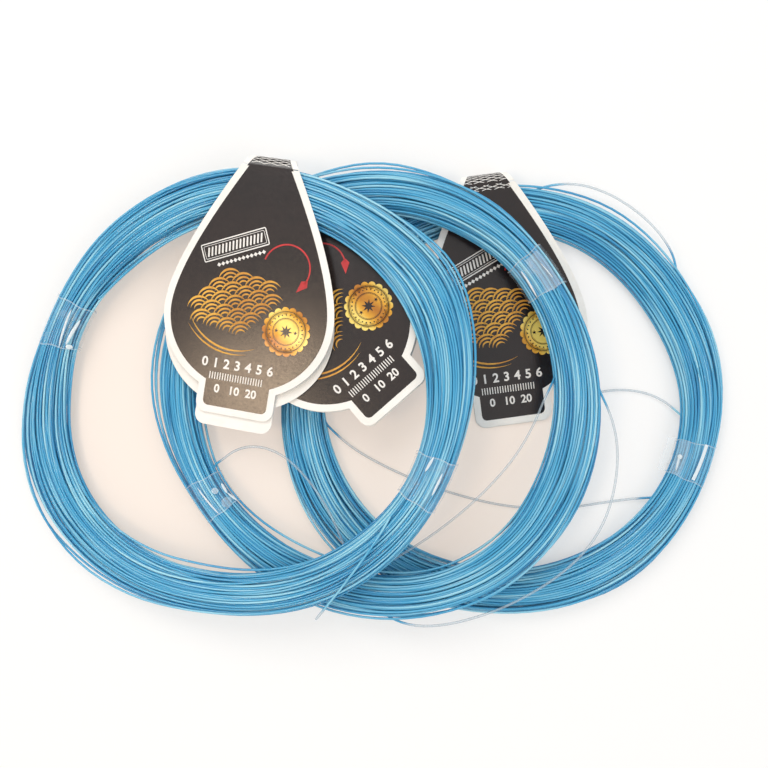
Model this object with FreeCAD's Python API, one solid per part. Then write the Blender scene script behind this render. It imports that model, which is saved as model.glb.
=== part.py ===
"""Three taped coils of blue nylon fishing line, each with a folded header card hung on it.

Millimetres, +Z up.  Coil 3 lies flat on the surface, coil 2 leans on it and coil 1 leans on coil 2.
Each coil is modelled flat in its own frame (origin at the ring's centre, underside at zero) and
then placed with a lean about Y.
"""
import FreeCAD, Part
import math
import os
from dataclasses import dataclass, field

Vec = FreeCAD.Vector
UP = Vec(0, 0, 1)

# ---- line -------------------------------------------------------------------------------------
LINE_DIAMETER = 0.9
LINE_LENGTH = 50290.0           # one coil's line: 55 yards
BUNDLE_FILL = 0.60              # share of the bundle's section that is line
RING_SECTIONS = 48              # sections round a coil
SECTION_POINTS = 16             # points round a section

# ---- tape bands -------------------------------------------------------------------------------
TAPE_THICKNESS = 0.2            # several turns of thin film
TAPE_GAP = 0.15                 # between the line and the film
TAPE_SECTIONS = 5

# ---- header card ------------------------------------------------------------------------------
CARD_THICKNESS = 0.3
CARD_BACK_GAP = 0.05            # under the line
CARD_FRONT_GAP = 0.42           # over the line
CARD_FOLD_WIDTH = 16.4          # at the fold's outer line, on the outside of the coil
CARD_FLANK_CORNER = 41.5        # from the fold's outer line to where the neck's slope meets the full width
CARD_WIDTH = 65.0
CARD_WIDEST_AT = 59.5           # from the fold's outer line
CARD_BOTTOM_REACH = 30.2        # from the widest line to the bottom of the round end
CARD_TAB_WIDTH = 29.8
CARD_TAB_RADIUS = 4.0
CARD_LENGTH = 96.8              # from the fold's outer line to the tab's end
CARD_TAB_OPENING = 0.6          # front tab stands this far above the back panel
CREASE_GAP = 0.4                # from the crease axis to the front panel's edge


@dataclass
class Band:
    """One tape band round the bundle."""
    name: str
    angle: float                # place on the ring, degrees
    width: float
    flap: float = 0.0           # free ends pressed together, reaching into the ring


@dataclass
class Card:
    """Where a header card hangs on its coil."""
    angle: float                # place on the ring, degrees
    fold_radius: float          # ring centre to the fold's outer line
    twist: float                # turn of its axis away from the ring's centre, degrees
    pitch: float                # inner end raised, degrees
    back_gap: float = CARD_BACK_GAP
    back_shift: float = 0.0     # how much further the back reaches, folded off its middle


@dataclass
class Strand:
    """A stretch of line that stands free of the bundle, by points in its coil's frame."""
    name: str
    points: list


@dataclass
class Coil:
    """One hank of line with its bands, card and free strands."""
    number: int
    centre: tuple               # ring centre on the surface
    lean: float                 # +X side raised, degrees
    rest_height: float          # ring centre's underside above the surface
    stations: list              # (angle, centre radius, width) round the ring
    bands: list
    card: Card
    strands: list = field(default_factory=list)


COIL_1 = Coil(
    number=1, centre=(-45.0, 1.5), lean=7.7, rest_height=10.75,
    stations=[
        (0, 75.3, 19.8), (30, 76.2, 25.4), (52, 73.6, 21.8), (90, 73.4, 22.8), (120, 72.8, 23.8),
        (140, 73.2, 21.0), (154, 73.8, 16.6), (168, 75.4, 16.6), (180, 78.2, 22.4),
        (205, 83.4, 26.6), (230, 82.0, 23.6), (260, 76.5, 19.6), (300, 75.1, 18.5),
        (327, 75.1, 15.6), (341, 75.1, 15.6)],
    bands=[Band("left", 161.0, 18.0), Band("right", 334.0, 18.0)],
    card=Card(angle=82.9, fold_radius=85.5, twist=-2.6, pitch=2.2, back_gap=0.15, back_shift=4.4),
    strands=[
        Strand("cut_end", [
            (57.2, -40.4, 5.0), (54.3, -45.8, 8.2), (51.0, -51.6, 10.0), (46.9, -57.8, 10.1),
            (42.1, -64.4, 9.3), (37.2, -71.0, 7.6), (31.9, -77.8, 5.6), (26.5, -84.5, 4.4)])])

COIL_2 = Coil(
    number=2, centre=(3.5, 0.5), lean=5.1, rest_height=7.25,
    stations=[
        (0, 73.5, 18.5), (29, 72.3, 15.6), (43, 72.9, 15.6), (60, 73.6, 19.2), (90, 74.9, 21.5),
        (130, 75.6, 22.2), (165, 77.3, 23.4), (188, 76.4, 21.0), (206, 75.0, 15.5),
        (219, 74.4, 15.5), (238, 74.7, 18.6), (257, 75.4, 20.8), (285, 77.7, 18.2),
        (310, 78.0, 19.0), (335, 75.2, 19.6)],
    bands=[Band("left", 212.5, 14.8), Band("right", 36.0, 15.4)],
    card=Card(angle=128.7, fold_radius=87.4, twist=2.5, pitch=7.7, back_gap=0.6),
    strands=[
        Strand("tail", [
            (-64.5, -29.5, 4.0), (-59.0, -26.3, 6.4), (-54.4, -22.8, 8.4), (-48.0, -20.6, 9.6),
            (-41.0, -21.2, 9.6), (-33.5, -24.8, 9.2), (-26.0, -32.4, 8.6), (-19.5, -41.5, 8.2),
            (-15.0, -50.6, 8.0), (-11.5, -59.5, 6.8)]),
        Strand("outer_strand", [
            (80.5, 2.0, 4.0), (85.6, -8.0, 3.8), (88.6, -20.0, 2.8), (88.0, -34.5, 1.8),
            (84.0, -49.0, 1.0), (76.5, -60.6, 0.6), (67.0, -69.2, 0.6), (56.5, -76.2, 0.8),
            (43.5, -82.6, 1.4), (29.5, -87.0, 2.2), (17.0, -88.6, 3.0), (6.8, -86.6, 3.6),
            (-1.6, -80.6, 4.0)]),
        Strand("inner_strand", [
            (67.5, 8.5, 4.2), (62.2, -1.6, 4.0), (58.2, -12.0, 3.8), (51.8, -23.6, 3.6),
            (43.0, -34.2, 3.6), (33.6, -43.4, 3.6), (23.6, -51.6, 3.6), (13.0, -59.0, 3.6),
            (2.0, -65.6, 3.8), (-9.0, -71.0, 4.0)])])

COIL_3 = Coil(
    number=3, centre=(50.5, -2.4), lean=0.0, rest_height=0.0,
    stations=[
        (0, 77.0, 17.8), (30, 74.3, 21.5), (60, 74.1, 21.2), (95, 73.3, 19.6), (130, 74.3, 19.0),
        (154, 75.2, 17.2), (167, 75.2, 17.2), (188, 76.4, 21.6), (215, 77.0, 23.4),
        (240, 76.2, 22.2), (262, 74.2, 18.9), (300, 75.8, 20.0), (318, 76.8, 18.6),
        (335, 76.6, 15.6), (348, 76.7, 15.6)],
    bands=[Band("left", 160.5, 14.8), Band("right", 341.5, 14.8, flap=3.3)],
    card=Card(angle=94.2, fold_radius=86.0, twist=3.5, pitch=0.0),
    strands=[
        Strand("inner_strand", [
            (-69.5, -7.5, 3.4), (-64.0, -13.5, 2.2), (-56.5, -20.0, 1.0), (-45.0, -26.5, 0.6),
            (-31.5, -32.6, 0.5), (-17.0, -37.6, 0.5), (-2.0, -41.4, 0.5), (13.0, -43.2, 0.5),
            (27.5, -42.8, 0.5), (41.0, -40.6, 0.6), (52.5, -39.0, 1.0), (62.0, -38.4, 2.2),
            (70.5, -36.0, 3.4)]),
        Strand("cut_end", [
            (73.5, -10.0, 3.2), (69.3, -6.0, 2.2), (64.5, -1.6, 1.2), (58.8, 1.4, 0.7),
            (52.0, 3.0, 0.5), (44.5, 3.2, 0.5), (36.5, 1.9, 0.5), (28.0, -0.6, 0.5)]),
        Strand("outer_strand", [
            (67.5, 45.5, 4.6), (66.6, 54.5, 4.8), (60.5, 64.2, 4.6), (51.5, 72.6, 4.4),
            (41.0, 79.0, 4.4), (29.5, 82.6, 4.4), (17.5, 82.0, 4.2), (7.0, 77.0, 4.2)])])

COILS = [COIL_1, COIL_2, COIL_3]


# ---- the bundle's section round a ring --------------------------------------------------------
def value_at(stations, angle, column):
    """Smooth periodic value of one station column at an angle in degrees."""
    count = len(stations)
    angle = angle % 360.0
    index = max(i for i in range(count) if stations[i][0] <= angle)

    def station(i):
        turn, place = divmod(i, count)
        return stations[place][0] + 360.0 * turn, stations[place][column]

    (a0, v0), (a1, v1) = station(index - 1), station(index)
    (a2, v2), (a3, v3) = station(index + 1), station(index + 2)
    span = a2 - a1
    t = (angle - a1) / span
    slope_1 = (v2 - v0) / (a2 - a0) * span
    slope_2 = (v3 - v1) / (a3 - a1) * span
    return (v1 * (2 * t ** 3 - 3 * t ** 2 + 1) + slope_1 * (t ** 3 - 2 * t ** 2 + t)
            + v2 * (3 * t ** 2 - 2 * t ** 3) + slope_2 * (t ** 3 - t ** 2))


def bundle_area(coil):
    """Section area of the bundle, from the line's length and the ring's size."""
    radius = sum(value_at(coil.stations, a, 1) for a in range(0, 360, 10)) / 36
    turns = LINE_LENGTH / (2 * math.pi * radius)
    return turns * math.pi / 4 * LINE_DIAMETER ** 2 / BUNDLE_FILL


def bundle_section(coil, angle):
    """Centre radius, half width and half height of the bundle at an angle."""
    half_width = value_at(coil.stations, angle, 2) / 2
    return value_at(coil.stations, angle, 1), half_width, bundle_area(coil) / (math.pi * half_width)


def section_centre(coil, angle):
    """Middle of the bundle at an angle, in the coil's frame."""
    radius, _, half_height = bundle_section(coil, angle)
    turn = math.radians(angle)
    height = TAPE_GAP + TAPE_THICKNESS + half_height
    return Vec(radius * math.cos(turn), radius * math.sin(turn), height)


def section_wire(coil, angle, offset=0.0):
    """Ellipse of the bundle at an angle, grown by an offset."""
    _, half_width, half_height = bundle_section(coil, angle)
    turn = math.radians(angle)
    outward = Vec(math.cos(turn), math.sin(turn), 0)
    wire = Part.Wire([Part.Ellipse(Vec(), half_width + offset, half_height + offset).toShape()])
    turned = FreeCAD.Rotation(outward, UP, outward.cross(UP), "XYZ")
    wire.Placement = FreeCAD.Placement(section_centre(coil, angle), turned)
    return wire


def smoothed(rows):
    """Poles of a closed cubic spline that passes through a closed row of points."""
    count = len(rows)
    return [rows[i] - (rows[i - 1] - rows[i] * 2 + rows[(i + 1) % count]) * (1 / 6)
            for i in range(count)]


def coil_ring(coil):
    """Closed solid of the bundle's outer shape, as one surface closed both ways."""
    columns = []
    for i in range(RING_SECTIONS):
        angle = 360.0 * i / RING_SECTIONS
        _, half_width, half_height = bundle_section(coil, angle)
        outward = Vec(math.cos(math.radians(angle)), math.sin(math.radians(angle)), 0)
        around = [2 * math.pi * j / SECTION_POINTS for j in range(SECTION_POINTS)]
        columns.append(smoothed([
            section_centre(coil, angle) + outward * (half_width * math.cos(a))
            + UP * (half_height * math.sin(a)) for a in around]))
    rows = [smoothed([column[j] for column in columns]) for j in range(SECTION_POINTS)]
    poles = [[row[i] for row in rows] for i in range(RING_SECTIONS)]
    surface = Part.BSplineSurface()
    surface.buildFromPolesMultsKnots(
        poles, [1] * (RING_SECTIONS + 1), [1] * (SECTION_POINTS + 1),
        list(range(RING_SECTIONS + 1)), list(range(SECTION_POINTS + 1)), True, True, 3, 3)
    ring = Part.Solid(Part.Shell([surface.toShape()]))
    return ring if ring.Volume > 0 else ring.reversed()


# ---- tape bands -------------------------------------------------------------------------------
def tape_band(coil, band):
    """Sleeve of film round the bundle, with its free ends as a flap where it has one."""
    radius = bundle_section(coil, band.angle)[0]
    half_turn = math.degrees(band.width / 2 / radius)
    step = 2 * half_turn / (TAPE_SECTIONS - 1)
    angles = [band.angle - half_turn + step * i for i in range(TAPE_SECTIONS)]
    outer = Part.makeLoft([section_wire(coil, a, TAPE_GAP + TAPE_THICKNESS) for a in angles], True)
    inner = Part.makeLoft([section_wire(coil, a, TAPE_GAP) for a in angles], True)
    sleeve = outer.cut(inner)
    if band.flap:
        sleeve = sleeve.fuse(tape_flap(coil, band))
    return sleeve.removeSplitter()


def tape_flap(coil, band):
    """Free ends of the film pressed together on the ring's inner side."""
    radius, half_width, _ = bundle_section(coil, band.angle)
    start = radius - half_width - TAPE_GAP - TAPE_THICKNESS / 2
    flap = Part.makeBox(band.flap, band.width, TAPE_THICKNESS,
                        Vec(start - band.flap, -band.width / 2, -TAPE_THICKNESS / 2))
    flap.rotate(Vec(), UP, band.angle)
    flap.translate(Vec(0, 0, section_centre(coil, band.angle).z))
    return flap


# ---- header card ------------------------------------------------------------------------------
class CardFrame:
    """A card's sizes in its own frame: +X from the fold to the tab, origin in the bundle's middle."""

    def __init__(self, coil):
        card = coil.card
        self.back_shift = card.back_shift
        radius, half_width, half_height = bundle_section(coil, card.angle)
        pitch = math.radians(card.pitch)
        below = math.hypot(half_height * math.cos(pitch), half_width * math.sin(pitch))
        self.back_top = -below - card.back_gap
        self.fold_at = radius - card.fold_radius
        tab_at = self.fold_at + CARD_LENGTH
        slope = (2 * below + CARD_FRONT_GAP) / tab_at
        above = math.hypot(half_height, half_width * slope) + CARD_FRONT_GAP
        self.slope = math.atan((above - self.back_top - CARD_TAB_OPENING) / tab_at)
        # crease: where the round fold ends and the front panel starts
        rise = math.tan(self.slope)
        self.fold_radius = (above - self.fold_at * rise - self.back_top) / (2 + rise) + CARD_THICKNESS
        self.crease_at = self.fold_at + self.fold_radius
        self.crease_height = self.back_top + 2 * self.fold_radius - 1.5 * CARD_THICKNESS
        self.placement = self.place(coil, card, pitch)

    @staticmethod
    def place(coil, card, pitch):
        heading = math.radians(card.angle + 180.0 + card.twist)
        level = Vec(math.cos(heading), math.sin(heading), 0)
        along = level * math.cos(pitch) + UP * math.sin(pitch)
        across = UP.cross(level)
        turned = FreeCAD.Rotation(along, across, along.cross(across), "XYZ")
        return FreeCAD.Placement(section_centre(coil, card.angle), turned)


def flank_poles(start):
    """Poles of the quadratic curve of a panel's flank, from x = start to the widest line."""
    half = CARD_WIDTH / 2
    neck = Vec(0, CARD_FOLD_WIDTH / 2, 0)
    corner = Vec(CARD_FLANK_CORNER, half, 0)
    widest = Vec(CARD_WIDEST_AT, half, 0)
    bend = CARD_WIDEST_AT - 2 * CARD_FLANK_CORNER
    share = start / (CARD_FLANK_CORNER + math.sqrt(CARD_FLANK_CORNER ** 2 + bend * start))
    near = neck + (corner - neck) * share
    ahead = corner + (widest - corner) * share
    return [near + (ahead - near) * share, ahead, widest]


def card_face(start):
    """Flat outline of a panel from its crease at x = start; x is measured from the fold."""
    half = CARD_WIDTH / 2
    corner, ahead, widest = flank_poles(start)
    flank = Part.BezierCurve()
    flank.setPoles([corner, ahead, widest])
    # round end: part of an ellipse from the tab to the widest line
    tab_half = CARD_TAB_WIDTH / 2
    tab_turn = math.asin(tab_half / half)
    tab_start = Vec(CARD_WIDEST_AT + CARD_BOTTOM_REACH * math.cos(tab_turn), tab_half, 0)
    middle, spread = (tab_turn + math.pi / 2) / 2, (math.pi / 2 - tab_turn) / 2
    reach = Vec(CARD_BOTTOM_REACH * math.cos(middle), half * math.sin(middle), 0)
    end = Part.BezierCurve()
    end.setPoles([tab_start, Vec(CARD_WIDEST_AT, 0, 0) + reach * (1 / math.cos(spread)), widest])
    end.setWeight(2, math.cos(spread))
    tab_corner = Vec(CARD_LENGTH - CARD_TAB_RADIUS, tab_half - CARD_TAB_RADIUS, 0)
    diagonal = Vec(1, 1, 0) * (CARD_TAB_RADIUS / math.sqrt(2))
    tab_side = tab_corner + Vec(0, CARD_TAB_RADIUS, 0)
    tab_end = tab_corner + Vec(CARD_TAB_RADIUS, 0, 0)
    side = [
        flank.toShape(),
        end.toShape(),
        Part.LineSegment(tab_start, tab_side).toShape(),
        Part.Arc(tab_side, tab_corner + diagonal, tab_end).toShape(),
        Part.LineSegment(tab_end, Vec(CARD_LENGTH, 0, 0)).toShape(),
        Part.LineSegment(Vec(start, 0, 0), corner).toShape()]
    other = [edge.mirror(Vec(), Vec(0, 1, 0)) for edge in side]
    return Part.Face(Part.Wire(Part.sortEdges(side + other)[0]))


def card_front(frame):
    """Front panel, in the card's frame, closed on the line."""
    start = frame.fold_radius + CREASE_GAP
    panel = card_face(start).extrude(Vec(0, 0, CARD_THICKNESS))
    panel.translate(Vec(-frame.fold_radius, 0, -CARD_THICKNESS / 2))
    panel.rotate(Vec(), Vec(0, 1, 0), math.degrees(frame.slope))
    panel.translate(Vec(frame.crease_at, 0, frame.crease_height))
    return panel


def fold_quarter(frame, foot, side):
    """Quarter of the round fold that flares in plan from its outer line to one panel's foot."""
    neck = CARD_FOLD_WIDTH / 2
    middle = frame.back_top - CARD_THICKNESS + frame.fold_radius
    start = Vec(frame.crease_at, -foot, middle)
    outer = Part.makeCylinder(frame.fold_radius, 2 * foot, start, Vec(0, 1, 0))
    inner = Part.makeCylinder(frame.fold_radius - CARD_THICKNESS, 2 * foot, start, Vec(0, 1, 0))
    corners = [
        Vec(frame.fold_at, -neck, middle), start,
        Vec(frame.crease_at, foot, middle), Vec(frame.fold_at, neck, middle)]
    flare = Part.Face(Part.makePolygon(corners + corners[:1])).extrude(Vec(0, 0, side * frame.fold_radius))
    return outer.cut(inner).common(flare)


def card_back(frame):
    """Back panel with the round fold, in the card's frame."""
    start = frame.fold_radius - frame.back_shift
    panel = card_face(start).extrude(Vec(0, 0, CARD_THICKNESS))
    panel.translate(Vec(frame.fold_at + frame.back_shift, 0, frame.back_top - CARD_THICKNESS))
    upper = fold_quarter(frame, flank_poles(frame.fold_radius)[0].y, 1)
    lower = fold_quarter(frame, flank_poles(start)[0].y, -1)
    return panel.fuse([upper, lower]).removeSplitter()


# ---- free strands -----------------------------------------------------------------------------
def rounded_path(points):
    """Straight runs joined by tangent arcs as large as the runs allow; also gives the radii."""
    edges = []
    radii = []
    last = points[0]
    for before, corner, after in zip(points, points[1:], points[2:]):
        back = before.sub(corner)
        ahead = after.sub(corner)
        half_turn = (math.pi - back.getAngle(ahead)) / 2
        tangent = 0.45 * min(back.Length, ahead.Length)
        radius = tangent / math.tan(half_turn)
        back.normalize()
        ahead.normalize()
        inward = (back + ahead).normalize()
        middle = corner + inward * (radius / math.cos(half_turn) - radius)
        start = corner + back * tangent
        end = corner + ahead * tangent
        edges.append(Part.LineSegment(last, start).toShape())
        edges.append(Part.Arc(start, middle, end).toShape())
        radii.append(radius)
        last = end
    edges.append(Part.LineSegment(last, points[-1]).toShape())
    return Part.Wire(edges), radii


def strand_tube(name, strand):
    """Round tube of line along a free strand's points."""
    path, radii = rounded_path([Vec(*p) for p in strand.points])
    direction = Vec(*strand.points[1]).sub(Vec(*strand.points[0]))
    profile = Part.Wire([Part.makeCircle(LINE_DIAMETER / 2, Vec(*strand.points[0]), direction)])
    tube = path.makePipeShell([profile], True, True)
    expected = math.pi / 4 * LINE_DIAMETER ** 2 * path.Length
    print(f"{name}: length {path.Length:.1f}, volume ratio {tube.Volume / expected:.4f}, radii",
          " ".join(f"{r:.0f}" for r in radii))
    return tube


# ---- assembly ---------------------------------------------------------------------------------
def coil_placement(coil):
    """The coil's lean about Y and its place on the surface."""
    base = Vec(coil.centre[0], coil.centre[1], coil.rest_height)
    return FreeCAD.Placement(base, FreeCAD.Rotation(Vec(0, 1, 0), -coil.lean))


def coil_nodes(coil):
    """Every piece of one coil, in its coil's frame."""
    number = coil.number
    nodes = {f"line_coil_{number}": coil_ring(coil)}
    for band in coil.bands:
        nodes[f"tape_{number}_{band.name}"] = tape_band(coil, band)
    for strand in coil.strands:
        name = f"line_{number}_{strand.name}"
        nodes[name] = strand_tube(name, strand)
    frame = CardFrame(coil)
    for name, panel in (("front", card_front(frame)), ("back", card_back(frame))):
        panel.Placement = frame.placement.multiply(panel.Placement)
        nodes[f"card_{number}_{name}"] = panel
    return nodes, frame


def placed_nodes():
    """All pieces of the set, and each card's crease as a point and a direction."""
    nodes = {}
    creases = {}
    for coil in COILS:
        place = coil_placement(coil)
        own, frame = coil_nodes(coil)
        for name, shape in own.items():
            shape.Placement = place.multiply(shape.Placement)
            nodes[name] = shape
        whole = place.multiply(frame.placement)
        point = whole.multVec(Vec(frame.crease_at, 0, frame.crease_height))
        creases[coil.number] = (point, whole.Rotation.multVec(Vec(0, -1, 0)))
    return nodes, creases


def main():
    os.makedirs("parts", exist_ok=True)
    nodes, creases = placed_nodes()
    box = FreeCAD.BoundBox()
    for name, shape in nodes.items():
        if not shape.isValid() or len(shape.Solids) != 1:
            raise ValueError(f"{name} isn't one valid solid")
        shape.exportStep(f"parts/{name}.step")
        box.add(shape.BoundBox)
    print("box", box)
    for number, (point, direction) in creases.items():
        print(f"crease {number}: point {point}, direction {direction}")


main()
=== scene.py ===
"""Dresses three taped hanks of blue nylon fishing line and their folded header cards.

Each hank is wound from one continuous line, its tape bands are crinkled clear film, and its card
carries a printed face built as thin layers of ink.
"""
import logging
import math
from dataclasses import dataclass, field
from enum import Enum
from functools import cached_property

import bpy
import numpy as np
from mathutils import Matrix, Vector


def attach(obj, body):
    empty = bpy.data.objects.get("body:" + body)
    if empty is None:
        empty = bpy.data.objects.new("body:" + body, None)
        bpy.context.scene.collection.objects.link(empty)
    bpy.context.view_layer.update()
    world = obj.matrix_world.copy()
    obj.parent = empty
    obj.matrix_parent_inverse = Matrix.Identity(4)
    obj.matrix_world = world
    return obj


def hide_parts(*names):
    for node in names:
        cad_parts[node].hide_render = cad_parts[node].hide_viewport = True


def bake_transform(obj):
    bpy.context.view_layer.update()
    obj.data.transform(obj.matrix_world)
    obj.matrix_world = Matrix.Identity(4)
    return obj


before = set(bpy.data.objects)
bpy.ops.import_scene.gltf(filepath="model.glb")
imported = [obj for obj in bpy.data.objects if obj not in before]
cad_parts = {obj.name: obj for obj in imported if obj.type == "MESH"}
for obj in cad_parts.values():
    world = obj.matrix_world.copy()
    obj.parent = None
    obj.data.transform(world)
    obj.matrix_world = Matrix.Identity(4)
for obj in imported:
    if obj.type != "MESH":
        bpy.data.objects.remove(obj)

log = logging.getLogger("fishing_line")

Point2 = tuple[float, float]
Point3 = tuple[float, float, float]
Socket = bpy.types.NodeSocket
Value = Socket | float | tuple

LINE_DIAMETER = 0.0009
LINE_LENGTH = 50.29
BUNDLE_FILL = 0.60
POINTS_PER_TURN = 24
WINDING_SEED = 40
# a quadratic spline led by a regular polygon's corners runs this share of their radius out
SPLINE_INSET = (3 + math.cos(math.tau / POINTS_PER_TURN)) / 4

TAPE_THICKNESS = 0.0002
TAPE_GAP = 0.00015

CARD_THICKNESS = 0.0003
CARD_FRONT_GAP = 0.00042
CARD_FOLD_WIDTH = 0.0164
CARD_FLANK_CORNER = 0.0415
CARD_WIDTH = 0.065
CARD_WIDEST_AT = 0.0595
CARD_BOTTOM_REACH = 0.0302
CARD_TAB_WIDTH = 0.0298
CARD_LENGTH = 0.0968
CARD_TAB_OPENING = 0.0006
CREASE_GAP = 0.0004
PRINT_MARGIN = 0.0026
PRINT_TAB_RADIUS = 0.0020
INK_LAYER = 0.00004
FOLD_PRINT_TURN = 0.62 * math.pi
LATTICE_SLANT = 0.24


# ---- node trees -------------------------------------------------------------------------------
class Tree:
    """A node tree with short ways to add nodes and to feed their sockets."""

    prefix = "ShaderNode"

    def __init__(self, tree: bpy.types.NodeTree) -> None:
        """Keeps the tree."""
        self.tree = tree

    def add(self, kind: str, **settings: object) -> bpy.types.Node:
        """Adds a node.

        Args:
            kind: Blender's node type, in full or without this tree's usual prefix.
            settings: properties of the node to set.

        Returns:
            The new node.
        """
        node = self.tree.nodes.new(kind if "Node" in kind else self.prefix + kind)
        for key, value in settings.items():
            setattr(node, key, value)
        return node

    def join(self, source: Socket, target: Socket) -> None:
        """Links two sockets."""
        self.tree.links.new(source, target)

    def feed(self, target: Socket, value: Value) -> None:
        """Links a socket to the target, or sets the target to a plain value."""
        if isinstance(value, Socket):
            self.join(value, target)
        else:
            target.default_value = value

    def fill(self, node: bpy.types.Node, **values: Value) -> bpy.types.Node:
        """Feeds a node's inputs.

        Args:
            node: the node.
            values: sockets or plain values, by the input's name with underscores for spaces.

        Returns:
            The same node.
        """
        for key, value in values.items():
            self.feed(node.inputs[key.replace("_", " ")], value)
        return node

    def calc(self, operation: str, *values: Value) -> Socket:
        """Adds a Math node.

        Args:
            operation: what it does.
            values: its operands in order, sockets or numbers.

        Returns:
            Its result.
        """
        node = self.add("Math", operation=operation)
        for target, value in zip(node.inputs, values):
            self.feed(target, value)
        return node.outputs[0]

    def mix(self, factor: Value, first: Value, second: Value, colours: bool = False) -> Socket:
        """Mixes two numbers or two colours.

        Args:
            factor: 0 gives the first and 1 the second.
            first: the first value.
            second: the second value.
            colours: whether they are colours.

        Returns:
            The mixed value.
        """
        node = self.add("Mix", data_type="RGBA" if colours else "FLOAT")
        a, b, result = (6, 7, 2) if colours else (2, 3, 0)
        for place, value in ((0, factor), (a, first), (b, second)):
            self.feed(node.inputs[place], value)
        return node.outputs[result]

    def spread(self, value: Value, start: Value = 0.0, stop: Value = 1.0, low: Value = 0.0,
               high: Value = 1.0, smooth: bool = False) -> Socket:
        """Stretches one range of values to another.

        Args:
            value: what is stretched.
            start: the value that becomes low.
            stop: the value that becomes high.
            low: the new range's start.
            high: the new range's end.
            smooth: whether it eases in and out.

        Returns:
            The stretched value.
        """
        node = self.add("MapRange", interpolation_type="SMOOTHSTEP" if smooth else "LINEAR")
        self.fill(node, Value=value, From_Min=start, From_Max=stop, To_Min=low, To_Max=high)
        return node.outputs["Result"]

    def axes(self, kind: str = "Object") -> bpy.types.NodeOutputs:
        """Adds a texture coordinate split into X, Y and Z, and gives those outputs."""
        split = self.add("SeparateXYZ")
        self.join(self.add("TexCoord").outputs[kind], split.inputs[0])
        return split.outputs


class ShaderTree(Tree):
    """A material's node tree with its Principled shader."""

    def __init__(self, name: str) -> None:
        """Makes the material and keeps its tree and its shader."""
        self.material = bpy.data.materials.new(name)
        self.material.use_nodes = True
        super().__init__(self.material.node_tree)
        self.shader = self.tree.nodes["Principled BSDF"]

    def group(self, group: bpy.types.NodeTree, **values: Value) -> bpy.types.NodeOutputs:
        """Places a node group and feeds its inputs.

        Args:
            group: the shared group.
            values: its inputs, by name with underscores for spaces.

        Returns:
            The group's outputs.
        """
        return self.fill(self.add("Group", node_tree=group), **values).outputs

    def ramp(self, factor: Socket, stops: list[tuple[float, Point3]]) -> Socket:
        """Adds a colour ramp driven by a socket.

        Args:
            factor: what drives it.
            stops: places and linear colours.

        Returns:
            The ramp's colour.
        """
        node = self.add("ValToRGB")
        elements = node.color_ramp.elements
        while len(elements) < len(stops):
            elements.new(0.5)
        for element, (place, colour) in zip(elements, stops):
            element.position = place
            element.color = (*colour, 1.0)
        self.join(factor, node.inputs["Fac"])
        return node.outputs["Color"]

    def bump(self, height: Socket, strength: float, distance: float) -> Socket:
        """Turns a height into a normal.

        Args:
            height: the height, from 0 to 1.
            strength: how much of it shows.
            distance: what a height of 1 stands for.

        Returns:
            The normal.
        """
        node = self.fill(self.add("Bump"), Strength=strength, Distance=distance, Height=height)
        return node.outputs["Normal"]

    def set(self, **values: Value) -> None:
        """Feeds inputs of the shader itself, by name with underscores for spaces."""
        self.fill(self.shader, **values)


class GroupTree(Tree):
    """A shader node group with number inputs and outputs."""

    def __init__(self, name: str, inputs: dict[str, float], outputs: tuple[str, ...]) -> None:
        """Makes an empty group.

        Args:
            name: the group's name.
            inputs: each input's first value, by name.
            outputs: the outputs' names.
        """
        super().__init__(bpy.data.node_groups.new(name, "ShaderNodeTree"))
        face = self.tree.interface
        for key, value in inputs.items():
            socket = face.new_socket(key, in_out="INPUT", socket_type="NodeSocketFloat")
            socket.default_value = value
        for key in outputs:
            face.new_socket(key, in_out="OUTPUT", socket_type="NodeSocketFloat")
        self.given = self.add("NodeGroupInput").outputs
        self.leave = self.add("NodeGroupOutput")


def linear(red: int, green: int, blue: int) -> Point3:
    """Turns a display colour of 0 to 255 into the linear one that shaders take.

    Args:
        red: display red.
        green: display green.
        blue: display blue.

    Returns:
        The linear colour.
    """
    def one(value: float) -> float:
        """Turns one channel linear."""
        share = value / 255
        return share / 12.92 if share <= 0.04045 else ((share + 0.055) / 1.055) ** 2.4

    return one(red), one(green), one(blue)


def mottle_group() -> bpy.types.NodeTree:
    """Builds the shared group for uneven surfaces: a coarse and a fine noise in one mask.

    Returns:
        The group, with inputs Scale, Fine and Contrast and output Mask.
    """
    made = GroupTree("surface_mottle", {"Scale": 60.0, "Fine": 6.0, "Contrast": 1.0}, ("Mask",))
    coarse = made.given["Scale"]
    where = made.add("TexCoord").outputs["Object"]
    noises = []
    for scale in (coarse, made.calc("MULTIPLY", coarse, made.given["Fine"])):
        noise = made.fill(made.add("TexNoise"), Vector=where, Scale=scale)
        noises.append(noise.outputs["Fac"])
    # more contrast narrows the range that is stretched to 0 and 1
    narrow = made.calc("DIVIDE", 1.0, made.given["Contrast"])
    mask = made.spread(made.mix(0.35, *noises), made.calc("MULTIPLY_ADD", narrow, -0.25, 0.5),
                       made.calc("MULTIPLY_ADD", narrow, 0.25, 0.5))
    made.fill(made.leave, Mask=mask)
    return made.tree


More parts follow.
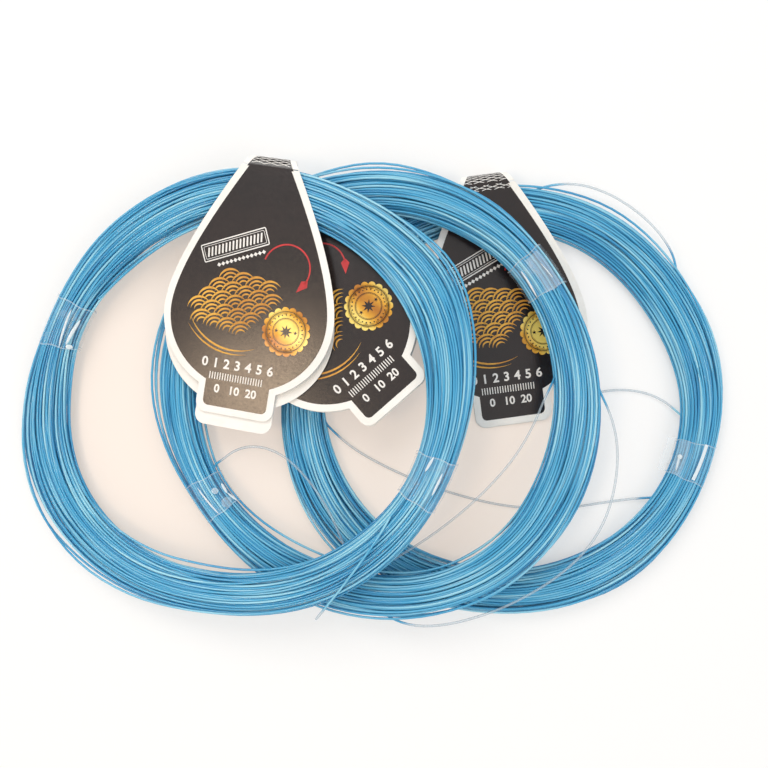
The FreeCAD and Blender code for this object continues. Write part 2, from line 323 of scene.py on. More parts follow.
def round_group() -> bpy.types.NodeTree:
    """Builds the shared group for the distance from an upright axis, in a ring or a disc.

    Returns:
        The group, with inputs Centre X, Centre Y, Radius, Near and Far, and outputs Distance from
        that circle and Mask, which goes from 0 to 1 as the distance goes from Near to Far.
    """
    inputs = dict.fromkeys(("Centre X", "Centre Y", "Radius", "Near", "Far"), 0.0)
    made = GroupTree("round_distance", inputs, ("Distance", "Mask"))
    axes = made.axes()
    squares = []
    for axis in ("X", "Y"):
        away = made.calc("SUBTRACT", axes[axis], made.given["Centre " + axis])
        squares.append(made.calc("MULTIPLY", away, away))
    reach = made.calc("SQRT", made.calc("ADD", *squares))
    distance = made.calc("ABSOLUTE", made.calc("SUBTRACT", reach, made.given["Radius"]))
    mask = made.spread(distance, made.given["Near"], made.given["Far"], smooth=True)
    made.fill(made.leave, Distance=distance, Mask=mask)
    return made.tree


@dataclass
class Shared:
    """The node groups that several finishes use."""

    mottle: bpy.types.NodeTree = field(default_factory=mottle_group)
    round: bpy.types.NodeTree = field(default_factory=round_group)


# ---- finishes ---------------------------------------------------------------------------------
@dataclass(frozen=True)
class LineFinish:
    """Clear blue nylon: painted light in each strand's middle and painted shade at its edges, pale
    where alone.
    """

    name: str = "nylon_line"
    # deep, middle and light run from painted shade at a strand's rims to painted highlight on its
    # streaks
    deep: Point3 = linear(60, 146, 202)
    middle: Point3 = linear(86, 184, 228)
    light: Point3 = linear(166, 230, 250)
    # a lone strand is pale, with painted shade at its edges
    alone_middle: Point3 = linear(198, 214, 224)
    alone_edge: Point3 = linear(116, 148, 168)
    roughness: float = 0.14
    edge_narrowness: float = 1.6
    edge_darkness: float = 0.18
    clear_middle: float = 0.86
    clear_edge: float = 1.0
    alone_clear_middle: float = 0.30
    alone_clear_edge: float = 0.86
    streaks_per_turn: float = 7.0
    near_bundle: float = 0.0004
    off_bundle: float = 0.0026
    headings: int = 24
    # a ramp's colours hold only 0 to 1, so lengths go in as this many times their metres
    length_scale: float = 10.0

    def build(self, shared: Shared, hank: "Hank") -> bpy.types.Material:
        """Builds the material.

        Args:
            shared: the shared node groups.
            hank: the ring, for painted highlight streaks that change along its line and for its
                edges.

        Returns:
            The material.
        """
        tree = ShaderTree(f"{self.name}_{hank.number}")
        along = tree.calc("MULTIPLY", tree.axes("UV")["X"], hank.turns * self.streaks_per_turn)
        # noise along the line lays streaks of painted highlight on each strand
        highlight_streak = tree.fill(tree.add("TexNoise", noise_dimensions="1D"),
                           W=along, Scale=1.0, Detail=1.5)
        # the middle of a strand, facing the camera, stays light; towards its rims it takes painted
        # shade
        facing = tree.fill(tree.add("LayerWeight"), Blend=0.5)
        edge = tree.calc("POWER", facing.outputs["Facing"], self.edge_narrowness)
        highlight_and_shade = tree.calc("MULTIPLY_ADD", edge, -self.edge_darkness, highlight_streak.outputs["Fac"])
        alone = self.outside(tree, shared, hank)
        tint = tree.mix(
            alone,
            tree.ramp(highlight_and_shade, [(0.10, self.deep), (0.46, self.middle), (0.70, self.light)]),
            tree.ramp(edge, [(0.1, self.alone_middle), (0.8, self.alone_edge)]), colours=True)
        alpha = tree.mix(
            alone,
            tree.spread(edge, low=self.clear_middle, high=self.clear_edge),
            tree.spread(edge, low=self.alone_clear_middle, high=self.alone_clear_edge))
        tree.set(Base_Color=tint, Roughness=self.roughness, IOR=1.53, Alpha=alpha)
        return tree.material

    def outside(self, tree: ShaderTree, shared: Shared, hank: "Hank") -> Socket:
        """Adds nodes that tell where the line stands outside its bundle, as seen in plan.

        Args:
            tree: the material's tree.
            shared: the shared node groups.
            hank: the ring.

        Returns:
            A value from 0 in the bundle to 1 well outside it.
        """
        x, y = hank.centre
        reach = tree.group(shared.round, Centre_X=x, Centre_Y=y)["Distance"]
        axes = tree.axes()
        heading = tree.calc("ARCTAN2", tree.calc("SUBTRACT", axes["Y"], y),
                            tree.calc("SUBTRACT", axes["X"], x))
        share = tree.calc("MULTIPLY_ADD", heading, 1 / math.tau, 0.5)
        stops = [(turn, (self.length_scale * middle, self.length_scale * half, 0.0))
                 for turn, middle, half in hank.plan(self.headings)]
        ring = tree.add("SeparateColor")
        tree.join(tree.ramp(share, stops), ring.inputs[0])
        metres = -1 / self.length_scale
        off_middle = tree.calc("MULTIPLY_ADD", ring.outputs[0], metres, reach)
        off_edge = tree.calc("MULTIPLY_ADD", ring.outputs[1], metres,
                             tree.calc("ABSOLUTE", off_middle))
        return tree.spread(off_edge, self.near_bundle, self.off_bundle, smooth=True)


@dataclass(frozen=True)
class FilmFinish:
    """Clear adhesive film: hardly seen on its face, whiter at its ends, and painted glints whiten
    its creases.
    """

    name: str = "tape_film"
    tint: Point3 = linear(232, 244, 250)
    clearness: float = 0.05
    white: float = 0.90
    # how far painted glints whiten the creases
    crease: float = 0.16
    crease_narrowness: float = 5.0
    roughness: float = 0.12
    relief: float = 0.4

    def build(self, shared: Shared) -> bpy.types.Material:
        """Builds the material.

        Args:
            shared: the shared node groups.

        Returns:
            The material.
        """
        tree = ShaderTree(self.name)
        # the folds bump the film and whiten its creases as painted glints
        folds = tree.group(shared.mottle, Scale=130.0, Fine=3.0, Contrast=2.0)["Mask"]
        face = tree.spread(tree.calc("POWER", folds, self.crease_narrowness),
                           low=self.clearness, high=self.crease)
        rim = tree.add("Attribute", attribute_name="rim").outputs["Fac"]
        tree.set(Base_Color=(*self.tint, 1), Roughness=self.roughness, IOR=1.5,
                 Alpha=tree.mix(rim, face, self.white),
                 Normal=tree.bump(folds, self.relief, 0.0003))
        return tree.material


@dataclass(frozen=True)
class CoatedFinish:
    """A smooth coated surface with slight unevenness: card stock, laminated print or ink."""

    name: str
    colour: Point3
    shade: Point3
    roughness: float = 0.38
    coat: float = 0.0
    grain: float = 1400.0
    relief: float = 0.25
    specular: float = 0.5

    def build(self, shared: Shared) -> bpy.types.Material:
        """Builds the material.

        Args:
            shared: the shared node groups.

        Returns:
            The material.
        """
        tree = ShaderTree(self.name)
        patch = tree.group(shared.mottle, Scale=45.0, Fine=9.0, Contrast=1.3)["Mask"]
        grain = tree.group(shared.mottle, Scale=self.grain, Fine=2.3, Contrast=1.6)["Mask"]
        tree.set(Specular_IOR_Level=self.specular, Coat_Weight=self.coat, Coat_Roughness=0.12,
                 Base_Color=tree.ramp(patch, [(0.2, self.shade), (0.7, self.colour)]),
                 Roughness=tree.spread(grain, low=self.roughness * 0.8, high=self.roughness * 1.25),
                 Normal=tree.bump(grain, self.relief, 0.0001))
        return tree.material


@dataclass(frozen=True)
class FoilFinish:
    """Printed gold foil whose soft light and dark bands across it are painted reflections."""

    name: str = "gold_foil"
    dark: Point3 = linear(176, 104, 22)
    middle: Point3 = linear(232, 172, 50)
    light: Point3 = linear(252, 226, 120)

    def build(self, shared: Shared) -> bpy.types.Material:
        """Builds the material.

        Args:
            shared: the shared node groups.

        Returns:
            The material.
        """
        tree = ShaderTree(self.name)
        # diagonal waves paint the foil's reflections as soft light and dark bands
        bands = tree.fill(tree.add("TexWave", bands_direction="DIAGONAL"),
                          Vector=tree.add("TexCoord").outputs["Object"],
                          Scale=24.0, Distortion=1.2, Detail=1.0)
        patch = tree.group(shared.mottle, Scale=90.0, Fine=5.0, Contrast=1.2)["Mask"]
        tint = tree.ramp(tree.mix(0.25, bands.outputs["Fac"], patch),
                         [(0.1, self.dark), (0.45, self.middle), (0.85, self.light)])
        tree.set(Base_Color=tint, Metallic=0.15, Roughness=0.3, Coat_Weight=0.4)
        return tree.material


class Ink(Enum):
    """The inks of the printed face, each with its layer above the card."""

    BLACK = 1
    GOLD = 2
    RED = 3
    WHITE = 4
    SEAL = 5
    SEAL_LINES = 6


@dataclass
class Finishes:
    """Every material of the set, built once."""

    shared: Shared = field(default_factory=Shared)

    def __post_init__(self) -> None:
        """Builds the materials that don't depend on a hank."""
        self.film = FilmFinish().build(self.shared)
        self.board = CoatedFinish(
            "white_board", colour=linear(251, 249, 244), shade=linear(244, 242, 236),
            roughness=0.45, grain=900.0, relief=0.15).build(self.shared)
        black = CoatedFinish(
            "black_print", colour=linear(36, 24, 22), shade=linear(27, 18, 17),
            roughness=0.21, grain=1100.0, relief=0.08, specular=0.75).build(self.shared)
        gold = CoatedFinish(
            "gold_ink", colour=linear(236, 178, 66), shade=linear(205, 140, 48),
            coat=0.1).build(self.shared)
        red = CoatedFinish(
            "red_ink", colour=linear(214, 44, 50), shade=linear(180, 34, 42),
            coat=0.3).build(self.shared)
        white = CoatedFinish(
            "white_ink", colour=linear(246, 244, 240), shade=linear(228, 226, 222),
            coat=0.3).build(self.shared)
        self.inks = {Ink.BLACK: black, Ink.GOLD: gold, Ink.RED: red, Ink.WHITE: white,
                     Ink.SEAL: FoilFinish().build(self.shared), Ink.SEAL_LINES: black}


# ---- mesh and pattern helpers -----------------------------------------------------------------
def mesh_object(name: str, points: list, faces: list, material: bpy.types.Material,
                smooth: bool = True) -> bpy.types.Object:
    """Makes a mesh object at the origin.

    Args:
        name: the piece's name.
        points: vertices in metres.
        faces: vertex indices of each face.
        material: its finish.
        smooth: whether its faces are shaded smooth.

    Returns:
        The new object.
    """
    mesh = bpy.data.meshes.new(name)
    mesh.from_pydata([tuple(p) for p in points], [], faces)
    mesh.materials.append(material)
    mesh.polygons.foreach_set("use_smooth", [smooth] * len(mesh.polygons))
    mesh.update()
    thing = bpy.data.objects.new(name, mesh)
    bpy.context.scene.collection.objects.link(thing)
    return thing


class Pattern(Tree):
    """A Geometry Nodes tree that repeats a mark, with named inputs."""

    prefix = "GeometryNode"

    def __init__(self, name: str, inputs: dict[str, tuple[str, float]]) -> None:
        """Makes an empty tree with its inputs and a geometry output.

        Args:
            name: the tree's name.
            inputs: each input's socket type and value, by name.
        """
        super().__init__(bpy.data.node_groups.new(name, "GeometryNodeTree"))
        face = self.tree.interface
        face.new_socket("Geometry", in_out="OUTPUT", socket_type="NodeSocketGeometry")
        for key, (kind, value) in inputs.items():
            socket = face.new_socket(key, in_out="INPUT", socket_type="NodeSocket" + kind)
            socket.default_value = value
        face.new_socket("Finish", in_out="INPUT", socket_type="NodeSocketMaterial")
        self.given = self.add("NodeGroupInput").outputs
        self.leave = self.add("NodeGroupOutput")

    def end(self, mark: bpy.types.Node, spots: bpy.types.Node, rotation: Value = (0, 0, 0)) -> None:
        """Sets the mark on every spot, then ends the tree in Realize Instances and Set Material.

        Args:
            mark: the node whose mesh is repeated.
            spots: the node whose mesh has a vertex at each place.
            rotation: how each mark is turned.
        """
        place = self.fill(self.add("InstanceOnPoints"), Points=spots.outputs["Mesh"],
                          Instance=mark.outputs["Mesh"], Rotation=rotation)
        real = self.fill(self.add("RealizeInstances"), Geometry=place.outputs["Instances"])
        paint = self.fill(self.add("SetMaterial"), Geometry=real.outputs["Geometry"],
                          Material=self.given["Finish"])
        self.fill(self.leave, Geometry=paint.outputs["Geometry"])

    def shapes(self, material: bpy.types.Material, **values: float) -> tuple[np.ndarray, list]:
        """Runs the tree and returns its flat mesh.

        Args:
            material: the finish of the marks.
            values: inputs by name with underscores for spaces.

        Returns:
            The vertices, x and y, and the faces.
        """
        holder = bpy.data.objects.new("pattern", bpy.data.meshes.new("pattern"))
        bpy.context.scene.collection.objects.link(holder)
        modifier = holder.modifiers.new("pattern", "NODES")
        modifier.node_group = self.tree
        sockets = {item.name: item.identifier for item in self.tree.interface.items_tree
                   if item.in_out == "INPUT"}
        for key, value in values.items():
            modifier[sockets[key.replace("_", " ")]] = value
        modifier[sockets["Finish"]] = material
        view = bpy.context.evaluated_depsgraph_get()
        made = bpy.data.meshes.new_from_object(holder.evaluated_get(view))
        points = np.array([v.co[:2] for v in made.vertices], float).reshape(-1, 2)
        faces = [tuple(p.vertices) for p in made.polygons]
        bpy.data.objects.remove(holder)
        bpy.data.meshes.remove(made)
        return points, faces


def ring_pattern() -> Pattern:
    """Builds the tree that sets round marks on a circle.

    Returns:
        The pattern, with inputs Count, Ring Radius, Mark Radius and Mark Sides.
    """
    made = Pattern("marks_on_a_ring", {
        "Count": ("Int", 12), "Ring Radius": ("Float", 0.006), "Mark Radius": ("Float", 0.0005),
        "Mark Sides": ("Int", 12)})
    ring = made.fill(made.add("MeshCircle"), Vertices=made.given["Count"],
                     Radius=made.given["Ring Radius"])
    mark = made.fill(made.add("MeshCircle", fill_type="NGON"), Vertices=made.given["Mark Sides"],
                     Radius=made.given["Mark Radius"])
    made.end(mark, ring)
    return made


def row_pattern() -> Pattern:
    """Builds the tree that sets bars in a straight row.

    Returns:
        The pattern, with inputs Count, Pitch, Bar Width, Bar Length, Bar Pieces and Slant.
    """
    made = Pattern("bars_in_a_row", {
        "Count": ("Int", 10), "Pitch": ("Float", 0.001), "Bar Width": ("Float", 0.0003),
        "Bar Length": ("Float", 0.002), "Bar Pieces": ("Int", 2), "Slant": ("Float", 0.0)})
    step = made.fill(made.add("ShaderNodeCombineXYZ"), X=made.given["Pitch"])
    turn = made.fill(made.add("ShaderNodeCombineXYZ"), Z=made.given["Slant"])
    row = made.fill(made.add("MeshLine"), Count=made.given["Count"], Offset=step.outputs[0])
    bar = made.fill(made.add("MeshGrid"), Size_X=made.given["Bar Width"],
                    Size_Y=made.given["Bar Length"], Vertices_X=2,
                    Vertices_Y=made.given["Bar Pieces"])
    made.end(bar, row, turn.outputs[0])
    return made


@dataclass
class Patterns:
    """The pattern trees that the cards share."""

    ring: Pattern = field(default_factory=ring_pattern)
    row: Pattern = field(default_factory=row_pattern)


# ---- the printed face -------------------------------------------------------------------------
class Artwork:
    """Flat ink shapes in card coordinates: x to the reader's right, y from the fold to the tab."""

    def __init__(self) -> None:
        """Starts with no ink."""
        self.points: dict[Ink, list[Point2]] = {ink: [] for ink in Ink}
        self.faces: dict[Ink, list[tuple]] = {ink: [] for ink in Ink}

    def mesh(self, ink: Ink, points: list, faces: list, at: Point2 = (0, 0),
             turn: float = 0.0) -> None:
        """Adds a flat mesh, turned and then moved.

        Args:
            ink: its ink.
            points: its vertices, x and y.
            faces: its faces.
            at: where its origin goes.
            turn: degrees from x towards y.
        """
        base = len(self.points[ink])
        c, s = math.cos(math.radians(turn)), math.sin(math.radians(turn))
        self.points[ink] += [
            (at[0] + c * p[0] - s * p[1], at[1] + s * p[0] + c * p[1]) for p in points]
        self.faces[ink] += [tuple(base + i for i in f) for f in faces]

    def area(self, ink: Ink, outline: list[Point2], at: Point2 = (0, 0), turn: float = 0.0) -> None:
        """Adds a filled outline."""
        self.mesh(ink, outline, [tuple(range(len(outline)))], at, turn)

    def ribbon(self, ink: Ink, line: list[Point2], width: float, closed: bool = False,
               at: Point2 = (0, 0), turn: float = 0.0, taper: bool = False) -> None:
        """Adds a line of a given width.

        Args:
            ink: its ink.
            line: its middle.
            width: its width.
            closed: whether its end joins its start.
            at: where its origin goes.
            turn: degrees from x towards y.
            taper: whether it thins to a point at both ends.
        """
        row = np.array(line, float)
        if closed:
            ahead, behind = np.roll(row, -1, 0), np.roll(row, 1, 0)
        else:
            ahead, behind = np.vstack([row[1:], row[-1:]]), np.vstack([row[:1], row[:-1]])
        run = ahead - behind
        side = np.stack([-run[:, 1], run[:, 0]], 1) / np.linalg.norm(run, axis=1, keepdims=True)
        share = np.linspace(0, 1, len(row))
        fullness = np.sin(np.pi * np.clip(share, 0.02, 0.98)) if taper else np.ones(len(row))
        half = width / 2 * fullness
        points = np.vstack([row + side * half[:, None], row - side * half[:, None]])
        count = len(row)
        faces = [(i, (i + 1) % count, count + (i + 1) % count, count + i)
                 for i in range(count if closed else count - 1)]
        self.mesh(ink, points.tolist(), faces, at, turn)

    def arc(self, ink: Ink, centre: Point2, radius: float, width: float, start: float, stop: float,
            taper: bool = False) -> None:
        """Adds an arc of a given width, from start to stop in degrees from x towards y."""
        count = max(8, int(abs(stop - start) / 7))
        turns = [math.radians(start + (stop - start) * i / count) for i in range(count + 1)]
        line = [(centre[0] + radius * math.cos(a), centre[1] + radius * math.sin(a)) for a in turns]
        self.ribbon(ink, line, width, taper=taper)

    def digits(self, ink: Ink, words: str, height: float, at: Point2) -> None:
        """Adds plain numbers.

        Args:
            ink: their ink.
            words: the numbers.
            height: height of a digit.
            at: the middle of the words.
        """
        data = bpy.data.curves.new("digits", "FONT")
        data.body = words
        data.size = height / 0.7
        data.offset = height * 0.035
        data.align_x, data.align_y = "CENTER", "CENTER"
        data.resolution_u = 3
        holder = bpy.data.objects.new("digits", data)
        made = bpy.data.meshes.new_from_object(holder)
        points = [(v.co.x, -v.co.y) for v in made.vertices]
        self.mesh(ink, points, [tuple(reversed(p.vertices)) for p in made.polygons], at)
        bpy.data.objects.remove(holder)
        bpy.data.meshes.remove(made)


@dataclass
class CardPrint:
    """The generic design on a card's front: sizes and places of its ornaments."""

    patterns: Patterns
    finishes: Finishes
    stamp_at: Point2 = (-0.0088, 0.0342)
    stamp_size: Point2 = (0.0253, 0.0063)
    stamp_turn: float = -23.5
    beads_under: float = 0.0049
    wave_at: Point2 = (-0.0050, 0.0572)
    wave_reach: Point2 = (0.0172, 0.0100)
    wave_turn: float = -20.0
    wave_radius: float = 0.0050
    hoop_at: Point2 = (0.0118, 0.0400)
    hoop_radius: float = 0.0088
    hoop_start: float = 195.0
    hoop_stop: float = 392.0
    seal_at: Point2 = (0.0152, 0.0627)
    seal_radius: float = 0.0086
    scale_at: Point2 = (-0.0010, 0.0829)

    def draw(self, print_outline: list[Point2]) -> Artwork:
        """Draws the whole face.

        Args:
            print_outline: the edge of the black area.

        Returns:
            The artwork.
        """
        art = Artwork()
        art.area(Ink.BLACK, print_outline)
        self.draw_stamp(art)
        self.draw_waves(art)
        self.draw_hoop(art)
        self.draw_seal(art)
        self.draw_scale(art)
        return art

    def draw_stamp(self, art: Artwork) -> None:
        """Draws a tilted frame filled with slanted bars, and a beaded line under it."""
        width, height = self.stamp_size
        for inset, line in ((0.0, 0.00042), (0.0008, 0.00018)):
            w, h, r = width / 2 - inset, height / 2 - inset, 0.0004
            corners = [
                (w - r, h - r, 0), (r - w, h - r, 90), (r - w, r - h, 180), (w - r, r - h, 270)]
            loop = [(x + r * math.cos(math.radians(a + b)), y + r * math.sin(math.radians(a + b)))
                    for x, y, a in corners for b in (0, 30, 60, 90)]
            art.ribbon(Ink.WHITE, loop, line, True, self.stamp_at, self.stamp_turn)
        self.row_of_bars(art, self.stamp_at, self.stamp_turn, Count=16, Pitch=0.00138,
                         Bar_Width=0.00062, Bar_Length=0.0034, Slant=0.30)
        turn = math.radians(self.stamp_turn)
        under = (self.stamp_at[0] + 0.0012 - self.beads_under * math.sin(turn),
                 self.stamp_at[1] + self.beads_under * math.cos(turn))
        self.row_of_bars(art, under, self.stamp_turn, Count=12, Pitch=0.0016,
                         Bar_Width=0.0011, Bar_Length=0.0011, Slant=0.785)

    def row_of_bars(self, art: Artwork, at: Point2, turn: float, **sizes: float) -> None:
        """Draws a centred row of white bars.

        Args:
            art: the artwork.
            at: the row's middle.
            turn: degrees from x towards y.
            sizes: inputs of the row pattern.
        """
        bars, faces = self.patterns.row.shapes(self.finishes.inks[Ink.WHITE], Bar_Pieces=2, **sizes)
        bars[:, 0] -= bars[:, 0].mean()
        art.mesh(Ink.WHITE, bars.tolist(), faces, at, turn)

    def draw_waves(self, art: Artwork) -> None:
        """Draws rows of overlapping scallops inside a leaning oval."""
        reach_x, reach_y = self.wave_reach
        radius = self.wave_radius
        row_pitch, column_pitch = radius * 0.5, 2 * radius * 0.92
        most = int(reach_x / column_pitch) + 1
        turn = math.radians(self.wave_turn)
        for row in range(int(2 * reach_y / row_pitch) + 1):
            y = -reach_y + row * row_pitch
            for column in range(-most, most + 1):
                x = (column + (0.5 if row % 2 else 0.0)) * column_pitch
                if (x / reach_x) ** 2 + (y / reach_y) ** 2 > 1.0:
                    continue
                at = (self.wave_at[0] + x * math.cos(turn) - y * math.sin(turn),
                      self.wave_at[1] + x * math.sin(turn) + y * math.cos(turn))
                for share, width in ((0.94, 0.00085), (0.66, 0.00075), (0.38, 0.00065)):
                    art.arc(Ink.GOLD, at, radius * share, width, 188 + self.wave_turn + 16 * share,
                            352 + self.wave_turn - 16 * share, taper=True)
        x, y = self.wave_at
        art.arc(Ink.GOLD, (x + 0.001, y - 0.005), 0.0205, 0.0007, 66, 150, True)
        art.arc(Ink.GOLD, (x + 0.001, y - 0.006), 0.0230, 0.0006, 76, 142, True)

    def draw_hoop(self, art: Artwork) -> None:
        """Draws an open red hoop that ends in a lozenge."""
        (x, y), radius = self.hoop_at, self.hoop_radius
        art.arc(Ink.RED, self.hoop_at, radius, 0.00058, self.hoop_start, self.hoop_stop)
        turn = math.radians(self.hoop_stop)
        end = (x + radius * math.cos(turn), y + radius * math.sin(turn))
        lozenge = [(0.0, -0.0017), (0.0016, 0.0), (0.0, 0.0042), (-0.0016, 0.0)]
        art.area(Ink.RED, lozenge, end, 38)

    def draw_seal(self, art: Artwork) -> None:
        """Draws a scalloped foil seal with rings of dots and a star."""
        x, y = self.seal_at
        radius = self.seal_radius
        lobes, faces = self.patterns.ring.shapes(
            self.finishes.inks[Ink.SEAL], Count=18, Ring_Radius=radius * 0.90,
            Mark_Radius=radius * 0.165, Mark_Sides=14)
        art.mesh(Ink.SEAL, lobes.tolist(), faces, self.seal_at)
        rim = radius * 0.93
        disc = [(rim * math.cos(math.tau * i / 54), rim * math.sin(math.tau * i / 54))
                for i in range(54)]
        art.area(Ink.SEAL, disc, self.seal_at)
        for share, width in ((0.86, 0.00022), (0.58, 0.00022), (0.54, 0.00012)):
            art.arc(Ink.SEAL_LINES, self.seal_at, radius * share, width, 0, 360)
        dots, faces = self.patterns.ring.shapes(
            self.finishes.inks[Ink.SEAL_LINES], Count=26, Ring_Radius=radius * 0.72,
            Mark_Radius=0.00028, Mark_Sides=8)
        art.mesh(Ink.SEAL_LINES, dots.tolist(), faces, self.seal_at)
        for side in (1, -1):
            art.area(Ink.SEAL_LINES, self.star(5, 0.0009, 0.00036), (x + side * radius * 0.42, y))
        art.area(Ink.SEAL_LINES, self.star(8, 0.0026, 0.0011), self.seal_at)

    @staticmethod
    def star(tips: int, outer: float, inner: float) -> list[Point2]:
        """Gives a star's outline.

        Args:
            tips: how many tips it has.
            outer: radius of the tips.
            inner: radius between them.

        Returns:
            Its points, from the tip nearest to the fold.
        """
        points = []
        for i in range(2 * tips):
            turn, reach = math.pi * i / tips - math.pi / 2, inner if i % 2 else outer
            points.append((reach * math.cos(turn), reach * math.sin(turn)))
        return points

    def draw_scale(self, art: Artwork) -> None:
        """Draws a measuring scale: plain numbers in two rows with tick marks between them."""
        x, y = self.scale_at
        for i in range(7):
            art.digits(Ink.WHITE, str(i), 0.0034, (x + (i - 3) * 0.0042, y - 0.0046))
        self.row_of_bars(art, self.scale_at, 0.0, Count=21, Pitch=0.0010, Bar_Width=0.00036,
                         Bar_Length=0.0026, Slant=0.0)
        for i, words in enumerate(("0", "10", "20")):
            art.digits(Ink.WHITE, words, 0.0030, (x + (i - 1) * 0.0066, y + 0.0048))


# ---- header card ------------------------------------------------------------------------------
@dataclass
class HeaderCard:
    """A folded card hung on a hank.  Its own frame runs along x from the fold to the tab.

    In degrees, angle is its place on the ring, twist how far its tab points aside of the ring's
    centre, and pitch how far it rises from the ring's plane towards the tab.  The back hangs
    back_gap under the bundle, and reaches back_shift further than the front.
    """

    angle: float
    fold_from_centre: float
    twist: float
    pitch: float
    back_gap: float
    front_body: str
    back_shift: float = 0.0
    lattice_reach: float = 0.0062
    hank: "Hank | None" = None

    def settle(self, hank: "Hank") -> None:
        """Takes the card's sizes from the bundle that it hangs on.

        Args:
            hank: the hank that carries the card.
        """
        self.hank = hank
        radius, half_width, half_height = hank.section(self.angle)
        pitch = math.radians(self.pitch)
        below = math.hypot(half_height * math.cos(pitch), half_width * math.sin(pitch))
        self.back_top = -below - self.back_gap
        self.fold_at = radius - self.fold_from_centre
        tab_at = self.fold_at + CARD_LENGTH
        slope = (2 * below + CARD_FRONT_GAP) / tab_at
        above = math.hypot(half_height, half_width * slope) + CARD_FRONT_GAP
        self.slope = math.atan((above - self.back_top - CARD_TAB_OPENING) / tab_at)
        rise = math.tan(self.slope)
        self.fold_radius = (
            (above - self.fold_at * rise - self.back_top) / (2 + rise) + CARD_THICKNESS)
        self.crease_at = self.fold_at + self.fold_radius
        self.crease_height = self.back_top + 2 * self.fold_radius - 1.5 * CARD_THICKNESS
        heading = math.radians(self.angle + 180.0 + self.twist)
        level = Vector((math.cos(heading), math.sin(heading), 0))
        along = level * math.cos(pitch) + Vector((0, 0, 1)) * math.sin(pitch)
        across = Vector((0, 0, 1)).cross(level)
        turned = Matrix((along, across, along.cross(across))).transposed().to_4x4()
        self.place = hank.place @ Matrix.Translation(hank.section_centre(self.angle)) @ turned

    def on_front(self, x: float, y: float, lift: float) -> Vector:
        """Puts a point of the printed face on the card.

        Args:
            x: across, to the reader's right.
            y: along, from the fold's outer line.
            lift: height above the card's surface.

        Returns:
            The point in the set's frame.
        """
        run = y - self.fold_radius
        height = CARD_THICKNESS / 2 + lift
        if run < 0:
            turn = run / self.fold_radius
            reach = self.fold_radius + lift
            middle = self.crease_height + CARD_THICKNESS / 2 - self.fold_radius
            local = Vector(
                (self.crease_at + reach * math.sin(turn), x, middle + reach * math.cos(turn)))
        else:
            c, s = math.cos(self.slope), math.sin(self.slope)
            local = Vector((self.crease_at + run * c + height * s, x,
                            self.crease_height - run * s + height * c))
        return self.place @ local

    def on_back(self, x: float, y: float, lift: float) -> Vector:
        """Puts a point of the back's printed face under the card, mirrored as a reader turns it."""
        return self.place @ Vector((self.fold_at + self.back_shift + y, x,
                                    self.back_top - CARD_THICKNESS - lift))

    @staticmethod
    def flank(start: float, inset: float, steps: int = 20) -> list[Point2]:
        """Gives one flank's edge as points of its quadratic curve, or a line inside it.

        Args:
            start: where it starts, from the fold's outer line.
            inset: how far inside the edge the line runs.
            steps: how many pieces it has.

        Returns:
            Its points, across and along, down to the widest line.
        """
        neck, half = CARD_FOLD_WIDTH / 2, CARD_WIDTH / 2
        bend = CARD_WIDEST_AT - 2 * CARD_FLANK_CORNER
        first = start / (CARD_FLANK_CORNER + math.sqrt(CARD_FLANK_CORNER ** 2 + bend * start))
        points = []
        for i in range(steps + 1):
            t = first + (1 - first) * i / steps
            across = neck * (1 - t) ** 2 + half * (2 * t - t * t)
            along = 2 * t * CARD_FLANK_CORNER + bend * t * t
            run = Vector(
                (2 * (1 - t) * (half - neck), 2 * CARD_FLANK_CORNER + 2 * bend * t)).normalized()
            points.append((across - inset * run.y, along + inset * run.x))
        return points

    def outline(self, inset: float, tab_radius: float, start: float) -> list[Point2]:
        """Gives a panel's edge, or a line inside it.

        Args:
            inset: how far inside the edge the line runs.
            tab_radius: radius of the tab's corners.
            start: where it starts, from the fold's outer line.

        Returns:
            The line's points, across and along.
        """
        side = self.flank(start, inset)
        (x, y), (next_x, next_y) = side[:2]
        side.insert(0, (x - (next_x - x) * (y - start) / (next_y - y), start))
        half, tab_half = CARD_WIDTH / 2, CARD_TAB_WIDTH / 2 - inset
        last = math.asin(tab_half / (half - inset))
        round_steps, corner_steps = 18, 6
        for i in range(1, round_steps + 1):
            turn = math.pi / 2 + (last - math.pi / 2) * i / round_steps
            side.append(((half - inset) * math.sin(turn),
                         CARD_WIDEST_AT + (CARD_BOTTOM_REACH - inset) * math.cos(turn)))
        for i in range(corner_steps + 1):
            turn = math.pi / 2 * i / corner_steps
            side.append((tab_half - tab_radius + tab_radius * math.cos(turn),
                         CARD_LENGTH - inset - tab_radius + tab_radius * math.sin(turn)))
        return side + [(-x, y) for x, y in reversed(side)]

    def print_half(self, y: float) -> float:
        """Gives half the print's width at a distance from the fold's outer line, round the fold.

        Args:
            y: along the card's outside, from the fold's outer line as it lies flat in plan.

        Returns:
            Half the print's width there.
        """
        if y >= self.fold_radius:
            return self.flank(y, 0.0, 1)[0][0] - PRINT_MARGIN * 0.86
        foot = self.flank(self.fold_radius, 0.0, 1)[0][0]
        neck = CARD_FOLD_WIDTH / 2
        turned = max(-math.pi / 2, min(0.0, (y - self.fold_radius) / self.fold_radius))
        return neck + (foot - neck) * (1 + math.sin(turned)) - PRINT_MARGIN * 0.86

    def laid(self, name: str, ink: Ink, points: list[Point2], faces: list[tuple],
             material: bpy.types.Material, body: str) -> bpy.types.Object:
        """Lays an ink's flat shapes on the card's front.

        Args:
            name: the piece's name.
            ink: the ink, which sets its height.
            points: its flat vertices.
            faces: its faces.
            material: its finish.
            body: the body that it rides on.

        Returns:
            The piece.
        """
        lift = INK_LAYER * ink.value
        placed = [self.on_front(x, y, lift) for x, y in points]
        piece = mesh_object(
            name, placed, [tuple(reversed(f)) for f in faces], material, smooth=False)
        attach(piece, body)
        return piece

